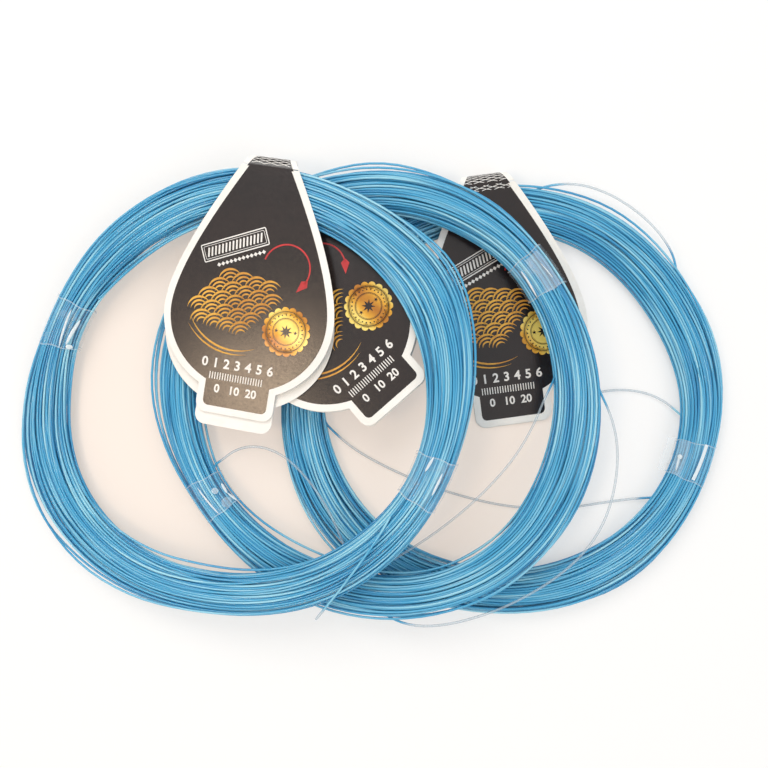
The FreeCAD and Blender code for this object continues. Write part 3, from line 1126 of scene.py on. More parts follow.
    def dress(self, finishes: Finishes, patterns: Patterns) -> None:
        """Prints the card's front, fold and back.

        Args:
            finishes: the materials.
            patterns: the pattern trees.
        """
        number = self.hank.number
        for side in ("front", "back"):
            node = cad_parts[f"card_{number}_{side}"]
            node.data.materials.clear()
            node.data.materials.append(finishes.board)
        start = self.fold_radius + 2 * CREASE_GAP
        art = CardPrint(patterns, finishes).draw(
            self.outline(PRINT_MARGIN, PRINT_TAB_RADIUS, start))
        for ink in Ink:
            if art.faces[ink]:
                self.laid(f"card_{number}_{ink.name.lower()}", ink, art.points[ink], art.faces[ink],
                          finishes.inks[ink], self.front_body)
        self.dress_fold(finishes, patterns, start)
        self.dress_back(finishes)
        log.info("card %d: printed front, fold and back", number)

    def dress_fold(self, finishes: Finishes, patterns: Patterns, start: float) -> None:
        """Lays the dark print and its white lattice round the fold.

        Args:
            finishes: the materials.
            patterns: the pattern trees.
            start: where the front's own print starts.
        """
        number, body = self.hank.number, f"coil_{self.hank.number}"
        begin = self.fold_radius * (1 - FOLD_PRINT_TURN)
        rows = 26
        lines = [begin + (start - begin) * i / (rows - 1) for i in range(rows)]
        points = [(x, y) for y in lines for x in (-self.print_half(y), self.print_half(y))]
        faces = [(2 * i, 2 * i + 1, 2 * i + 3, 2 * i + 2) for i in range(rows - 1)]
        wrap = self.laid(f"card_{number}_fold_print", Ink.BLACK, points, faces,
                         finishes.inks[Ink.BLACK], body)
        self.lay_lattice(finishes, patterns, begin)
        if self.front_body != body:
            world = wrap.matrix_world.copy()
            wrap.parent = None
            wrap.matrix_world = world
            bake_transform(wrap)
        log.info("card %d: fold print and lattice", number)

    def lay_lattice(self, finishes: Finishes, patterns: Patterns, begin: float) -> None:
        """Lays the white lattice, in one piece on the fold and one on the front beyond the crease.

        Args:
            finishes: the materials.
            patterns: the pattern trees.
            begin: where the fold's print begins.
        """
        white = finishes.inks[Ink.WHITE]
        net, shapes = [], []
        for slant in (LATTICE_SLANT, -LATTICE_SLANT):
            bars, marks = patterns.row.shapes(
                white, Count=22, Pitch=0.0012, Bar_Width=0.00019, Bar_Length=0.0260,
                Bar_Pieces=66, Slant=slant)
            middle = (bars[:, 0].max() + bars[:, 0].min()) / 2
            shapes += [tuple(len(net) + i for i in reversed(m)) for m in marks]
            net += [(y, x - middle) for x, y in bars]
        fold = ("fold", begin, self.fold_radius - CREASE_GAP, f"coil_{self.hank.number}")
        front = ("front", self.fold_radius + CREASE_GAP, self.lattice_reach, self.front_body)
        for name, low, high, body in (fold, front):
            kept = [face for face in shapes
                    if all(low < net[i][1] < high and abs(net[i][0]) < self.print_half(net[i][1])
                           for i in face)]
            if kept:
                self.laid(
                    f"card_{self.hank.number}_{name}_lattice", Ink.WHITE, net, kept, white, body)

    def dress_back(self, finishes: Finishes) -> None:
        """Lays the dark print on the outside of the back panel."""
        number = self.hank.number
        outline = self.outline(PRINT_MARGIN, PRINT_TAB_RADIUS, self.fold_radius + 0.001)
        points = [self.on_back(x, y, INK_LAYER) for x, y in outline]
        piece = mesh_object(f"card_{number}_back_print", points, [tuple(range(len(points)))],
                            finishes.inks[Ink.BLACK], smooth=False)
        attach(piece, f"coil_{number}")


# ---- hank -------------------------------------------------------------------------------------
@dataclass(frozen=True)
class Pleat:
    """A small raised fold in the film: place along the ring and out from its middle, size and turn.

    A square one keeps its width to its ends, and white sets how much its painted glint shows.
    """

    along: float
    out: float
    length: float
    width: float
    turn: float = 0.0
    white: float = 1.0
    square: bool = False


@dataclass
class Band:
    """One tape band round the bundle."""

    name: str
    angle: float
    width: float
    pleats: list[Pleat] = field(default_factory=list)
    flap: float = 0.0


class Role(Enum):
    """What a free stretch of line is to its hank."""

    START = "start"
    LOOP = "loop"
    END = "end"


@dataclass
class Stretch:
    """Line that stands free of the bundle, by points in its hank's frame, in winding order."""

    node: str
    role: Role
    points: list[Point3]


@dataclass
class Stray:
    """A turn that bows out of the bundle near one angle: angle and spread in degrees."""

    angle: float
    spread: float
    out: float
    lift: float = 0.0


@dataclass
class Hank:
    """One length of line wound in a ring, its tape bands and its card.

    Each station gives an angle in degrees, and the bundle's centre radius and full width there.
    The line's first turn starts at start_angle and its last one ends at end_angle.
    """

    number: int
    centre: Point2
    lean: float
    rest_height: float
    stations: list[Point3]
    bands: list[Band]
    card: HeaderCard
    stretches: list[Stretch]
    strays: list[Stray]
    start_angle: float
    end_angle: float

    def value_at(self, angle: float, column: int) -> float:
        """Gives a smooth periodic value of one station column.

        Args:
            angle: place on the ring in degrees.
            column: which value of a station.

        Returns:
            The value there.
        """
        count = len(self.stations)
        angle = angle % 360.0
        index = max(i for i in range(count) if self.stations[i][0] <= angle)

        def station(i: int) -> Point2:
            """Gives a station's angle and value, on past the last one."""
            turn, place = divmod(i, count)
            return self.stations[place][0] + 360.0 * turn, self.stations[place][column]

        (a0, v0), (a1, v1) = station(index - 1), station(index)
        (a2, v2), (a3, v3) = station(index + 1), station(index + 2)
        span = a2 - a1
        t = (angle - a1) / span
        slope_1 = (v2 - v0) / (a2 - a0) * span
        slope_2 = (v3 - v1) / (a3 - a1) * span
        return (v1 * (2 * t ** 3 - 3 * t ** 2 + 1) + slope_1 * (t ** 3 - 2 * t ** 2 + t)
                + v2 * (3 * t ** 2 - 2 * t ** 3) + slope_2 * (t ** 3 - t ** 2))

    @cached_property
    def radii(self) -> list[float]:
        """Centre radius of the bundle every 10 degrees."""
        return [self.value_at(angle, 1) for angle in range(0, 360, 10)]

    @cached_property
    def laps(self) -> float:
        """Turns that the line's length makes at the ring's mean radius."""
        return LINE_LENGTH / (math.tau * (sum(self.radii) / len(self.radii)))

    @cached_property
    def turns(self) -> int:
        """Whole turns that the line's length makes."""
        return round(self.laps)

    @cached_property
    def area(self) -> float:
        """Section area of the bundle."""
        return self.laps * math.pi / 4 * LINE_DIAMETER ** 2 / BUNDLE_FILL

    @cached_property
    def circle(self) -> Point3:
        """Centre and radius of the circle nearest to the ring, in the set's frame."""
        angles, reach = np.radians(np.arange(0, 360, 10)), np.array(self.radii)
        x, y = reach * np.cos(angles), reach * np.sin(angles)
        table = np.stack([2 * x, 2 * y, np.ones_like(x)], 1)
        a, b, c = np.linalg.lstsq(table, x ** 2 + y ** 2, rcond=None)[0]
        return self.centre[0] + a, self.centre[1] + b, math.sqrt(c + a * a + b * b)

    def plan(self, count: int) -> list[Point3]:
        """Gives the ring's middle and half width as seen in plan.

        Args:
            count: how many even headings to give it for.

        Returns:
            The share of a turn from the heading of minus x, the middle's radius and half the width.
        """
        rows = []
        for angle in range(-180, 540, 3):
            radius, half, _ = self.section(angle)
            spot = self.place @ self.section_centre(angle)
            x, y = spot.x - self.centre[0], spot.y - self.centre[1]
            rows.append((math.degrees(math.atan2(y, x)) % 360, math.hypot(x, y), half))
        rows.sort()
        table = np.array([(a - 360, r, h) for a, r, h in rows] + rows)
        shares = [i / count for i in range(count + 1)]
        return [(share, *(float(np.interp(360 * share - 180, table[:, 0], table[:, column]))
                          for column in (1, 2))) for share in shares]

    @cached_property
    def place(self) -> Matrix:
        """The hank's lean and place on the surface."""
        base = Matrix.Translation((self.centre[0], self.centre[1], self.rest_height))
        return base @ Matrix.Rotation(math.radians(-self.lean), 4, "Y")

    def section(self, angle: float) -> Point3:
        """Gives the bundle's centre radius, half width and half height at an angle."""
        half_width = self.value_at(angle, 2) / 2
        return self.value_at(angle, 1), half_width, self.area / (math.pi * half_width)

    def section_centre(self, angle: float) -> Vector:
        """Gives the bundle's middle at an angle, in the hank's frame."""
        radius, _, half_height = self.section(angle)
        turn = math.radians(angle)
        height = TAPE_GAP + TAPE_THICKNESS + half_height
        return Vector((radius * math.cos(turn), radius * math.sin(turn), height))

    def on_skin(self, angle: float, around: float, lift: float) -> Vector:
        """Gives a point on the bundle's outside.

        Args:
            angle: place on the ring in degrees.
            around: place round the section in degrees, 0 outward and 90 up.
            lift: height over the outermost line.

        Returns:
            The point in the set's frame.
        """
        _, half_width, half_height = self.section(angle)
        turn, around = math.radians(angle), math.radians(around)
        out = (half_width + lift) * math.cos(around)
        local = self.section_centre(angle) + Vector((out * math.cos(turn), out * math.sin(turn),
                                                     (half_height + lift) * math.sin(around)))
        return self.place @ local

    def settled_lanes(self) -> np.ndarray:
        """Lays every turn beside the others, as wound line lies.

        The turns start at spots spread over a disc, wander along the line, and are pushed apart
        in every section until they lie about a diameter from each other.

        Returns:
            Offsets out and up from the bundle's middle, for each turn and each point of a turn.
        """
        steps = POINTS_PER_TURN
        random = np.random.default_rng(WINDING_SEED + self.number)
        sections = np.array([self.section(360.0 * j / steps)[1:] for j in range(steps)])
        inside = sections - LINE_DIAMETER / 2
        return self.pushed_apart(self.wandering(self.start_spots(random), random), inside) * inside

    def start_spots(self, random: np.random.Generator) -> np.ndarray:
        """Spreads the turns over a disc of radius 1, layer by layer, with some swapped.

        Args:
            random: the random numbers.

        Returns:
            A spot for each turn.
        """
        index = np.arange(self.turns)
        reach, golden = np.sqrt((index + 0.5) / self.turns), index * math.pi * (3 - math.sqrt(5))
        spots = np.stack([reach * np.cos(golden), reach * np.sin(golden)], 1)
        layer = np.floor((spots[:, 1] + 1) * 4)
        spots = spots[np.lexsort((np.where(layer % 2, 1, -1) * spots[:, 0], layer))]
        for _ in range(self.turns // 3):
            pair = random.integers(0, self.turns, 2)
            spots[pair] = spots[pair[::-1]]
        return spots

    def wandering(self, spots: np.ndarray, random: np.random.Generator) -> np.ndarray:
        """Leads the line from spot to spot and lets it wander on the way.

        Args:
            spots: a spot for each turn.
            random: the random numbers.

        Returns:
            Places in the disc for each turn and each point of a turn.
        """
        turns, steps, wander = self.turns, POINTS_PER_TURN, 0.09
        place = np.arange(turns * steps) / steps
        here = place.astype(int)
        share = (place - here)[:, None]
        share = share * share * (3 - 2 * share)
        lanes = spots[here] * (1 - share) + spots[np.minimum(here + 1, turns - 1)] * share
        for wave in range(6):
            pace, phase = random.uniform(1.0, 4.2), random.uniform(0, math.tau, 2)
            for axis in (0, 1):
                ripple = 3 * np.sin(place * (1.3 + 0.4 * axis) + wave)
                lanes[:, axis] += wander * np.sin(math.tau * pace * place + phase[axis] + ripple)
        return lanes.reshape(turns, steps, 2)

    def pushed_apart(self, lanes: np.ndarray, inside: np.ndarray) -> np.ndarray:
        """Pushes the turns apart in every section, and keeps each one in the bundle and smooth.

        Args:
            lanes: places in a disc of radius 1.
            inside: half width and half height that the line's middle may take, for each section.

        Returns:
            The settled places, in the same disc.
        """
        index = np.arange(self.turns)
        apart, rounds, push_share, smoothing = 1.05 * LINE_DIAMETER, 110, 0.4, 0.09
        for _ in range(rounds):
            where = lanes * inside
            gap = where[:, None] - where[None]
            far = np.sqrt((gap ** 2).sum(-1)) + 1e-9
            push = np.clip(apart - far, 0, None) / far
            push[index, index] = 0
            lanes = (where + push_share * (gap * push[..., None]).sum(1)) / inside
            out = np.sqrt((lanes ** 2).sum(-1, keepdims=True))
            line = (lanes / np.maximum(out, 1)).reshape(-1, 2)
            line[1:-1] += smoothing * (line[:-2] + line[2:] - 2 * line[1:-1])
            lanes = line.reshape(self.turns, POINTS_PER_TURN, 2)
        return lanes

    def bowed(self, lanes: np.ndarray) -> np.ndarray:
        """Bows the strays out of the bundle.

        Args:
            lanes: offsets of every turn.

        Returns:
            The offsets with each stray's turn moved.
        """
        steps = POINTS_PER_TURN
        flat = lanes.reshape(-1, 2).copy()
        place = np.arange(len(flat)) * 360.0 / steps
        taken: set[int] = set()
        for stray in self.strays:
            column = round(stray.angle / 360 * steps) % steps
            side = lanes[:, column, 0] * (1 if stray.out > 0 else -1)
            order = [k for k in np.argsort(-side) if k not in taken and 1 < k < self.turns - 1]
            turn = int(order[0])
            taken |= {turn - 1, turn, turn + 1}
            shape = np.exp(-(((place - 360.0 * turn - stray.angle) / stray.spread) ** 2))
            flat[:, 0] += stray.out * shape
            flat[:, 1] += stray.lift * shape
        return flat.reshape(lanes.shape)

    def wound(self) -> list[tuple[float, Vector]]:
        """Gives the control points of every full turn.

        Returns:
            Degrees wound and the point in the hank's frame, in winding order.
        """
        steps = POINTS_PER_TURN
        lanes = self.bowed(self.settled_lanes())
        middles = [self.section_centre(360.0 * j / steps) for j in range(steps)]
        points = []
        for turn in range(self.turns):
            for j in range(steps):
                heading = math.tau * j / steps
                out, up = lanes[turn, j]
                point = middles[j] + Vector((math.cos(heading), math.sin(heading), 0)) * out
                point = Vector((point.x / SPLINE_INSET, point.y / SPLINE_INSET, point.z + up))
                points.append((360.0 * turn + 360.0 * j / steps, point))
        return points

    def route(self) -> list[Vector]:
        """Gives the control points of the whole line, with its free stretches in their places.

        Returns:
            The points in the set's frame, from the line's start to its end.
        """
        margin = 0.7 * 360.0 / POINTS_PER_TURN
        first, last = self.start_angle, 360.0 * (self.turns - 1) + self.end_angle
        kept = [(s, p) for s, p in self.wound() if first <= s <= last]
        for stretch in self.stretches:
            points = [Vector(p) for p in stretch.points]
            count = len(points)
            if stretch.role is Role.START:
                kept = [(s, p) for s, p in kept if s > first + margin]
                kept += [(first - (count - 1 - i), p) for i, p in enumerate(points)]
            elif stretch.role is Role.END:
                kept = [(s, p) for s, p in kept if s < last - margin]
                kept += [(last + i, p) for i, p in enumerate(points)]
            else:
                begin, span = self.loop_span(points)
                low = 360.0 * self.nearest_turn(kept, points, begin, span) + begin
                kept = [(s, p) for s, p in kept if not low - margin < s < low + span + margin]
                kept += [(low + span * i / (count - 1), p) for i, p in enumerate(points)]
        kept.sort(key=lambda item: item[0])
        return [self.place @ p for _, p in kept]

    @staticmethod
    def loop_span(points: list[Vector]) -> Point2:
        """Gives the angle where a loop leaves the bundle and how far round it comes back."""
        begin = math.degrees(math.atan2(points[0].y, points[0].x)) % 360.0
        end = math.degrees(math.atan2(points[-1].y, points[-1].x)) % 360.0
        return begin, (end - begin) % 360.0

    def nearest_turn(self, wound: list[tuple[float, Vector]], points: list[Vector],
                     begin: float, span: float) -> int:
        """Finds the turn that comes nearest to both ends of a loop.

        Args:
            wound: the line so far, by degrees wound.
            points: the loop's points.
            begin: where it leaves, in degrees.
            span: how far round it comes back.

        Returns:
            The turn's number.
        """
        places = np.array([s for s, _ in wound])
        line = np.array([p[:] for _, p in wound])

        def miss(turn: int) -> float:
            """Gives how far a turn passes from the loop's two ends."""
            total = 0.0
            leave = 360.0 * turn + begin
            for place, point in ((leave, points[0]), (leave + span, points[-1])):
                near = np.array([np.interp(place, places, line[:, axis]) for axis in range(3)])
                total += float(np.linalg.norm(near - np.array(point)))
            return total

        return min(range(2, self.turns - 3), key=miss)

    def wind(self, finish: bpy.types.Material) -> None:
        """Makes the hank's one continuous line, as a curve of one open spline.

        Args:
            finish: its material.
        """
        route = self.route()
        curve = bpy.data.curves.new(f"hank_{self.number}_line", "CURVE")
        curve.dimensions = "3D"
        curve.bevel_depth = LINE_DIAMETER / 2
        curve.bevel_resolution = 1
        curve.resolution_u = 4
        curve.use_fill_caps = True
        curve.materials.append(finish)
        spline = curve.splines.new("NURBS")
        spline.points.add(len(route) - 1)
        spline.points.foreach_set("co", [value for p in route for value in (p.x, p.y, p.z, 1.0)])
        spline.order_u = 3
        spline.use_endpoint_u = True
        piece = bpy.data.objects.new(curve.name, curve)
        bpy.context.scene.collection.objects.link(piece)
        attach(piece, f"coil_{self.number}")
        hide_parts(f"line_coil_{self.number}", *[s.node for s in self.stretches])
        log.info("hank %d: %d turns, %d points", self.number, self.turns, len(route))

    def tape(self, finish: bpy.types.Material) -> None:
        """Makes the two film bands.

        Args:
            finish: their material.
        """
        for band in self.bands:
            TapeBand(self, band).build(finish)


@dataclass
class Film:
    """A sheet of film as a mesh, with how white each of its points is."""

    points: list[Vector] = field(default_factory=list)
    faces: list[tuple] = field(default_factory=list)
    rims: list[float] = field(default_factory=list)

    def put(self, point: Vector, rim: float) -> None:
        """Adds a point and how white it is."""
        self.points.append(point)
        self.rims.append(rim)

    def weave(self, rows: int, columns: int, closed: bool = False, flipped: bool = False) -> None:
        """Joins the points, which were put row by row, with four-cornered faces.

        Args:
            rows: how many rows there are.
            columns: how many points each has.
            closed: whether the last row joins the first.
            flipped: whether the faces look the other way.
        """
        for i in range(rows if closed else rows - 1):
            for j in range(columns - 1):
                a, b = i * columns + j, (i + 1) % rows * columns + j
                self.faces.append((a, a + 1, b + 1, b) if flipped else (a, b, b + 1, a + 1))

    def add(self, other: "Film") -> None:
        """Adds another sheet to this one."""
        self.faces += [tuple(len(self.points) + i for i in face) for face in other.faces]
        self.points += other.points
        self.rims += other.rims


@dataclass
class TapeBand:
    """Crinkled clear film round the bundle, that overlaps on its underside."""

    hank: Hank
    band: Band
    around: int = 60
    across: int = 18
    crinkle: float = 0.00022
    overlap_lift: float = 0.00012
    pleat_height: float = 0.00035
    end_white: float = 0.34
    flap_end_white: float = 0.3
    flap_white: float = 0.12

    def layer(self, start: float, sweep: float, lift: float, skew: float, grow: float) -> Film:
        """Makes one turn of film.

        Args:
            start: where it starts round the section, in degrees.
            sweep: how far it goes round.
            lift: its height over the line.
            skew: how far its far end wanders along the ring, in metres.
            grow: extra width on each side.

        Returns:
            Its mesh.
        """
        radius = self.hank.section(self.band.angle)[0]
        half = math.degrees((self.band.width / 2 + grow) / radius)
        phase = self.band.angle + lift * 1e5
        made = Film()
        closed = sweep >= 360
        # close columns at both ends keep the white end lines narrow
        columns = [-1.0, -0.965] + [i / 8 * 0.93 for i in range(-8, 9)] + [0.965, 1.0]
        rows = self.around if closed else self.around + 1
        for i in range(rows):
            share = i / self.around
            about = start + sweep * share
            drift = math.degrees(skew * (share - 0.5) / radius)
            for along in columns:
                edge = 1 + 0.03 * math.sin(about * 0.09 + phase + 3 * (along > 0))
                angle = self.band.angle + half * along * edge + drift
                height = lift + self.crinkle * self.ridge(about, along, phase)
                end = abs(along) > 0.95 or (not closed and i in (0, rows - 1))
                made.put(self.hank.on_skin(angle, about, height), self.end_white if end else 0.0)
        made.weave(rows, len(columns), closed)
        return made

    @staticmethod
    def ridge(about: float, along: float, phase: float) -> float:
        """Gives how high a crinkle stands, as a share of the highest.

        Args:
            about: place round the section, in degrees.
            along: place along the ring, from -1 to 1 over the band.
            phase: what sets one layer's crinkles apart from another's.

        Returns:
            The height, from 0 to 1.
        """
        crossing = (math.sin(about * 0.21 + 5.1 * along + phase)
                    * math.sin(about * 0.083 - 2.7 * along + 2 * phase))
        return max(0.0, abs(crossing) ** 0.7 - 0.25) * (1 - 0.5 * along ** 2)

    def pleat(self, fold: Pleat) -> Film:
        """Makes one small raised fold on the band's upper side, whitened by a painted glint.

        Args:
            fold: its place and size.

        Returns:
            Its mesh.
        """
        radius, half_width, _ = self.hank.section(self.band.angle)
        c, s = math.cos(math.radians(fold.turn)), math.sin(math.radians(fold.turn))
        made, rows = Film(), 11
        for i in range(rows):
            share = 2 * i / (rows - 1) - 1
            swell = 1.0 if fold.square else max(0.12, math.sqrt(max(0.0, 1 - share * share)))
            for side in (-1, 0, 1):
                run, aside = share * fold.length / 2, side * fold.width / 2 * swell
                along, out = fold.along + run * c - aside * s, fold.out + run * s + aside * c
                about = math.degrees(math.acos(max(-0.97, min(0.97, out / half_width))))
                height = TAPE_GAP + self.crinkle + (self.pleat_height * swell if side == 0 else 0.0)
                angle = self.band.angle + math.degrees(along / radius)
                # the pleat's whiteness paints a glint along the fold
                made.put(self.hank.on_skin(angle, about, height), fold.white)
        made.weave(rows, 3)
        return made

    def flap(self) -> Film:
        """Makes the free ends pressed together on the ring's inner side.

        Returns:
            Its mesh.
        """
        radius, half_width, _ = self.hank.section(self.band.angle)
        half = math.degrees(self.band.width / 2 / radius)
        made, rows = Film(), 7
        for i in range(rows):
            reach = self.band.flap * i / (rows - 1)
            for j in range(self.across + 1):
                along = 2 * j / self.across - 1
                turn = math.radians(self.band.angle + half * along)
                out = half_width + TAPE_GAP + reach
                middle = self.hank.section_centre(self.band.angle + half * along)
                wave = 0.0005 * math.sin(4 * along + 2.0 * i / rows) * i / rows
                spot = middle - Vector((out * math.cos(turn), out * math.sin(turn), wave))
                end = abs(along) > 0.95 or i == rows - 1
                made.put(self.hank.place @ spot, self.flap_end_white if end else self.flap_white)
        made.weave(rows, self.across + 1, flipped=True)
        return made

    def build(self, finish: bpy.types.Material) -> None:
        """Makes the band's mesh: film round the bundle, its overlap underneath, pleats and flap.

        Args:
            finish: its material.
        """
        base = TAPE_GAP * 0.6
        film = self.layer(start=0, sweep=360, lift=base, skew=0.0, grow=0.0)
        film.add(self.layer(start=195, sweep=150, lift=base + self.overlap_lift, skew=0.0012,
                            grow=-0.0006))
        for fold in self.band.pleats:
            film.add(self.pleat(fold))
        if self.band.flap:
            film.add(self.flap())
        number = self.hank.number
        piece = mesh_object(f"hank_{number}_tape_{self.band.name}", film.points, film.faces, finish)
        piece.data.attributes.new("rim", "FLOAT", "POINT").data.foreach_set("value", film.rims)
        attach(piece, f"coil_{number}")
        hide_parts(f"tape_{number}_{self.band.name}")
        log.info("hank %d: tape %s", number, self.band.name)


# ---- the three hanks --------------------------------------------------------------------------
def top_hank() -> Hank:
    """Gives the hank on top of the pile, at the left."""
    return Hank(
        number=1, centre=(-0.045, 0.0015), lean=7.7, rest_height=0.01075,
        stations=[
            (0, 0.0753, 0.0198), (30, 0.0762, 0.0254), (52, 0.0736, 0.0218), (90, 0.0734, 0.0228),
            (120, 0.0728, 0.0238), (140, 0.0732, 0.021), (154, 0.0738, 0.0166),
            (168, 0.0754, 0.0166), (180, 0.0782, 0.0224), (205, 0.0834, 0.0266),
            (230, 0.082, 0.0236), (260, 0.0765, 0.0196), (300, 0.0751, 0.0185),
            (327, 0.0751, 0.0156), (341, 0.0751, 0.0156)],
        bands=[Band("left", 161.0, 0.018, [
                   Pleat(0.0011, -0.0018, 0.0157, 0.0008, -3),
                   Pleat(0.0017, -0.0049, 0.0115, 0.0011, 7),
                   Pleat(0.0079, -0.0053, 0.0022, 0.0018, 80)]),
               Band("right", 334.0, 0.018, [
                   Pleat(0.0062, -0.0015, 0.0062, 0.0009, 9),
                   Pleat(0.0008, 0.0036, 0.0084, 0.0008)])],
        card=HeaderCard(
            angle=82.9, fold_from_centre=0.0855, twist=-2.6, pitch=2.2, back_gap=0.00015,
            front_body="card_1_front", back_shift=0.0044, lattice_reach=0.0),
        stretches=[Stretch("line_1_cut_end", Role.START, [
            (0.0265, -0.0845, 0.0044), (0.0319, -0.0778, 0.0056), (0.0372, -0.071, 0.0076),
            (0.0421, -0.0644, 0.0093), (0.0469, -0.0578, 0.0101), (0.051, -0.0516, 0.01),
            (0.0543, -0.0458, 0.0082), (0.0572, -0.0404, 0.005)])],
        strays=[Stray(206, 14, 0.0018), Stray(228, 16, 0.0016), Stray(188, 14, 0.0020),
                Stray(32, 16, 0.0030, 0.001), Stray(26, 18, 0.0020), Stray(40, 18, 0.0014),
                Stray(36, 20, 0.0009), Stray(255, 20, -0.0014), Stray(300, 20, 0.0016),
                Stray(110, 20, 0.0013), Stray(130, 25, -0.0012), Stray(70, 16, 0.0010)],
        start_angle=324.8, end_angle=161.0)


def middle_hank() -> Hank:
    """Gives the hank that lies across the lowest one."""
    return Hank(
        number=2, centre=(0.0035, 0.0005), lean=5.1, rest_height=0.00725,
        stations=[
            (0, 0.0735, 0.0185), (29, 0.0723, 0.0156), (43, 0.0729, 0.0156), (60, 0.0736, 0.0192),
            (90, 0.0749, 0.0215), (130, 0.0756, 0.0222), (165, 0.0773, 0.0234),
            (188, 0.0764, 0.021), (206, 0.075, 0.0155), (219, 0.0744, 0.0155),
            (238, 0.0747, 0.0186), (257, 0.0754, 0.0208), (285, 0.0777, 0.0182),
            (310, 0.078, 0.019), (335, 0.0752, 0.0196)],
        bands=[Band("left", 212.5, 0.0148, [
                   Pleat(0.0010, 0.0011, 0.0130, 0.0007, -5),
                   Pleat(0.0, -0.0060, 0.0048, 0.0008, 3),
                   Pleat(0.0048, -0.0064, 0.0050, 0.0006, -9),
                   Pleat(-0.0010, -0.0031, 0.0027, 0.0022, -20, 0.5),
                   Pleat(0.0052, -0.0040, 0.0040, 0.0034, 30, 0.22)]),
               Band("right", 36.0, 0.0154, [
                   Pleat(-0.0014, -0.0043, 0.0120, 0.0007, 1),
                   Pleat(-0.0010, 0.0031, 0.0068, 0.0004, -7),
                   Pleat(-0.0006, 0.0020, 0.0140, 0.0058, -2, 0.24, True)])],
        card=HeaderCard(
            angle=128.7, fold_from_centre=0.0874, twist=2.5, pitch=7.7, back_gap=0.0006,
            front_body="coil_2"),
        stretches=[
            Stretch("line_2_outer_strand", Role.LOOP, [
                (-0.0016, -0.0806, 0.004), (0.0068, -0.0866, 0.0036), (0.017, -0.0886, 0.003),
                (0.0295, -0.087, 0.0022), (0.0435, -0.0826, 0.0014), (0.0565, -0.0762, 0.0008),
                (0.067, -0.0692, 0.0006), (0.0765, -0.0606, 0.0006), (0.084, -0.049, 0.001),
                (0.088, -0.0345, 0.0018), (0.0886, -0.02, 0.0028), (0.0856, -0.008, 0.0038),
                (0.0805, 0.002, 0.004)]),
            Stretch("line_2_inner_strand", Role.LOOP, [
                (-0.009, -0.071, 0.004), (0.002, -0.0656, 0.0038), (0.013, -0.059, 0.0036),
                (0.0236, -0.0516, 0.0036), (0.0336, -0.0434, 0.0036), (0.043, -0.0342, 0.0036),
                (0.0518, -0.0236, 0.0036), (0.0582, -0.012, 0.0038), (0.0622, -0.0016, 0.004),
                (0.0675, 0.0085, 0.0042)]),
            Stretch("line_2_tail", Role.START, [
                (-0.0115, -0.0595, 0.0068), (-0.015, -0.0506, 0.008), (-0.0195, -0.0415, 0.0082),
                (-0.026, -0.0324, 0.0086), (-0.0335, -0.0248, 0.0092), (-0.041, -0.0212, 0.0096),
                (-0.048, -0.0206, 0.0096), (-0.0544, -0.0228, 0.0084), (-0.059, -0.0263, 0.0064),
                (-0.0645, -0.0295, 0.004)])],
        strays=[Stray(90, 14, 0.0022), Stray(178, 18, 0.0014), Stray(330, 22, 0.0018),
                Stray(60, 15, 0.0016), Stray(300, 18, 0.0014), Stray(240, 20, -0.0013),
                Stray(300, 20, -0.0012), Stray(270, 16, 0.0012), Stray(120, 20, 0.0009)],
        start_angle=204.6, end_angle=36.0)


